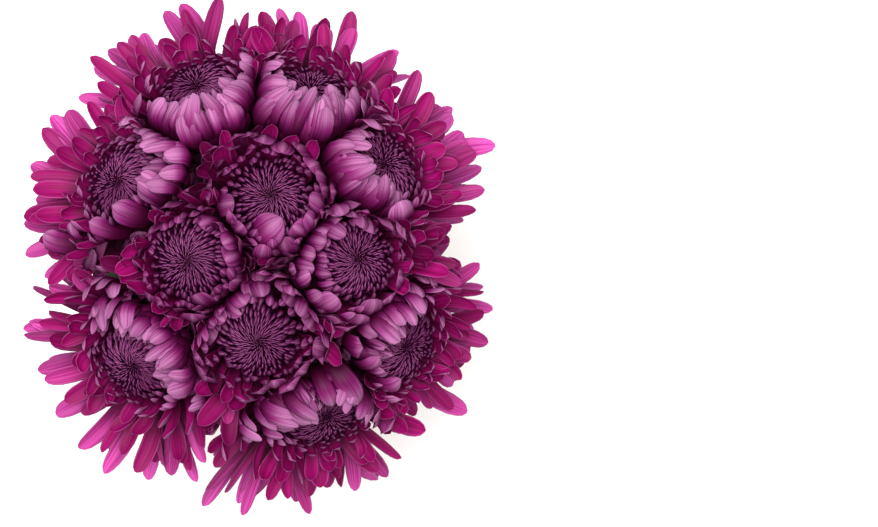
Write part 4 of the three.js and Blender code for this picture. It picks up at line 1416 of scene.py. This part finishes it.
def scale_material():
    material, tree = new_material("green scale", 0.55, 0.3)
    _apart, edge, _back = placed(tree, blade_sides, {"Edge": 0.6})
    along, luck = shader_value(tree, "along"), shader_value(tree, "chance")
    _, fine = mottled(tree, Scale=1500.0, Detail=2.0)
    colour = blend_colour(tree, ranged(tree, along, 0.3, 1.0), (0.075, 0.15, 0.035), (0.12, 0.17, 0.06))
    colour = blend_colour(tree, times(tree, edge, 0.6), colour, (0.22, 0.19, 0.10))
    colour = blend_colour(tree, times(tree, luck, 0.3), colour, (0.05, 0.1, 0.02))
    return painted(material, colour, fine, 0.4, 0.2 * MM)


SCALE = {"Thickness": 0.2 * MM, "Quill points": 8, "Strap points": 12, "Material": scale_material()}
print("scales under a bloom", sum(count for count, *_ in SCALE_ROWS))

# %% [markdown]
# ## Cups and hearts
# The cup itself is turned. Inside it is the heart that the florets stand on, nearly black as painted shade,
# so that no light shows between them. It spreads into the corners between neighbours as a dark filler of
# painted shade where the petals' feet meet.

# %% Cups and hearts
CUP = [(0, -8.2), (2.2, -8.2), (4.4, -6.9), (6.4, -4.8), (7.7, -2.4), (8.2, -0.3), (0, -0.3)]
HEART = [(0, 0), (8.3, 0), (9.0, 3), (10.0, 6), (10.5, 10), (10.6, 14.5), (9.6, 19.2)]
HEART += [(6.0, 21.2), (2.0, 22.0), (0, 22.1)]
# how much of the free room it takes up at each height
HEART_SPREAD = [(0, 0), (3, 0.6), (6, 1), (10, 0.9), (14.5, 0.15), (22, 0)]
carried_by = {bloom_name: plant for plant, facts in PLANTS.items() for bloom_name in facts[3]}


def heart_shade_material():
    material, tree = new_material("heart of the bloom", 0.8, 0.1)
    patch, fine = mottled(tree, Scale=500.0, Detail=3.0)
    # near black, painted shade, so that no light shows between the florets
    colour = blend_colour(tree, patch, (0.012, 0.0004, 0.006), (0.03, 0.002, 0.014))
    return painted(material, colour, fine, 0.5, 0.5 * MM)


def heart_spread(name):
    """Fills the corners between neighbours with the heart, a dark filler of painted shade where the petals'
    feet meet.
    """

    def spread(radius, height, azimuth):
        room = room_at(name, azimuth, np.full(azimuth.shape, float(height)))
        wide = np.minimum(room + 0.6, np.interp(room, [30, 55], [28, 11]))
        share = np.interp(height, *zip(*HEART_SPREAD))
        return radius + share * np.maximum(wide - radius, 0)

    return spread


heart_shade = heart_shade_material()
for name in BLOOMS:
    cup = turned(name.replace("bloom", "cup"), CUP, 32, frames[name])
    finish_piece(cup, [carried_by[name]], stem_green)
    ribs = rib_mesh(name + ".scale_ribs", scale_ribs(name))
    scales = grow(ribs, blades_along_ribs, SCALE, name.replace("bloom", "scales"))
    finish_piece(scales, [carried_by[name]])
    heart = turned(name + ".heart", HEART, 48, frames[name], spread=heart_spread(name))
    finish_piece(heart, [name], heart_shade)
print("cups, scales and hearts", 3 * len(BLOOMS))
made = [item for item in bpy.data.objects if item.type == "MESH" and "." in item.name]
print("triangles in all", sum(len(face.vertices) - 2 for item in made for face in item.data.polygons))

# %% [markdown]
# ## Floor, light and camera
# A pale floor, one wide soft light overhead and a bright even sky stand in for a white studio table. The
# photograph looks straight down, from far enough that the dome shows no perspective.

# %% Stage and camera
PIXELS_PER_MM = 2.565
FRAME_WIDTH_PX = 878
FRAME_CENTRE = (439.0, 263.5)
CROWN_CENTRE = (253.0, 256.0)
CAMERA_HEIGHT = 2.5
FOCUS_HEIGHT = 0.2


def floor_and_light():
    mesh = bpy.data.meshes.new("floor")
    size = 3.0
    corners = [(-size, -size, 0), (size, -size, 0), (size, size, 0), (-size, size, 0)]
    mesh.from_pydata(corners, [], [(0, 1, 2, 3)])
    floor = new_object("floor", mesh)
    material = bpy.data.materials.new("white table")
    material.use_nodes = True
    surface = material.node_tree.nodes["Principled BSDF"]
    surface.inputs["Base Color"].default_value = (0.93, 0.93, 0.93, 1)
    surface.inputs["Roughness"].default_value = 0.9
    mesh.materials.append(material)
    lamp = bpy.data.lights.new("overhead", "AREA")
    lamp.shape = "DISK"
    lamp.size = 1.6
    lamp.energy = 52
    carrier = new_object("overhead", lamp)
    carrier.location = (-0.15, 0.2, 1.7)
    to_crown = Vector((0, 0, 0.15)) - carrier.location
    carrier.rotation_euler = to_crown.to_track_quat("-Z", "Y").to_euler()
    world = bpy.data.worlds.new("studio")
    world.use_nodes = True
    sky = world.node_tree.nodes["Background"].inputs
    sky["Color"].default_value = (1, 1, 1, 1)
    sky["Strength"].default_value = 0.6
    bpy.context.scene.world = world


def camera_above():
    data = bpy.data.cameras.new("camera")
    camera = new_object("camera", data)
    x = (FRAME_CENTRE[0] - CROWN_CENTRE[0]) / PIXELS_PER_MM * MM
    y = -(FRAME_CENTRE[1] - CROWN_CENTRE[1]) / PIXELS_PER_MM * MM
    camera.location = (x, y, CAMERA_HEIGHT)
    data.sensor_fit = "HORIZONTAL"
    data.sensor_width = 36.0
    data.lens = 36.0 * (CAMERA_HEIGHT - FOCUS_HEIGHT) / (FRAME_WIDTH_PX / PIXELS_PER_MM * MM)
    data.clip_end = 20.0
    bpy.context.scene.camera = camera
    return camera


floor_and_light()
camera = camera_above()
bpy.context.scene.view_settings.view_transform = "Standard"
print("lens, mm", round(camera.data.lens, 1))

# %% Hand over
bpy.context.view_layer.update()
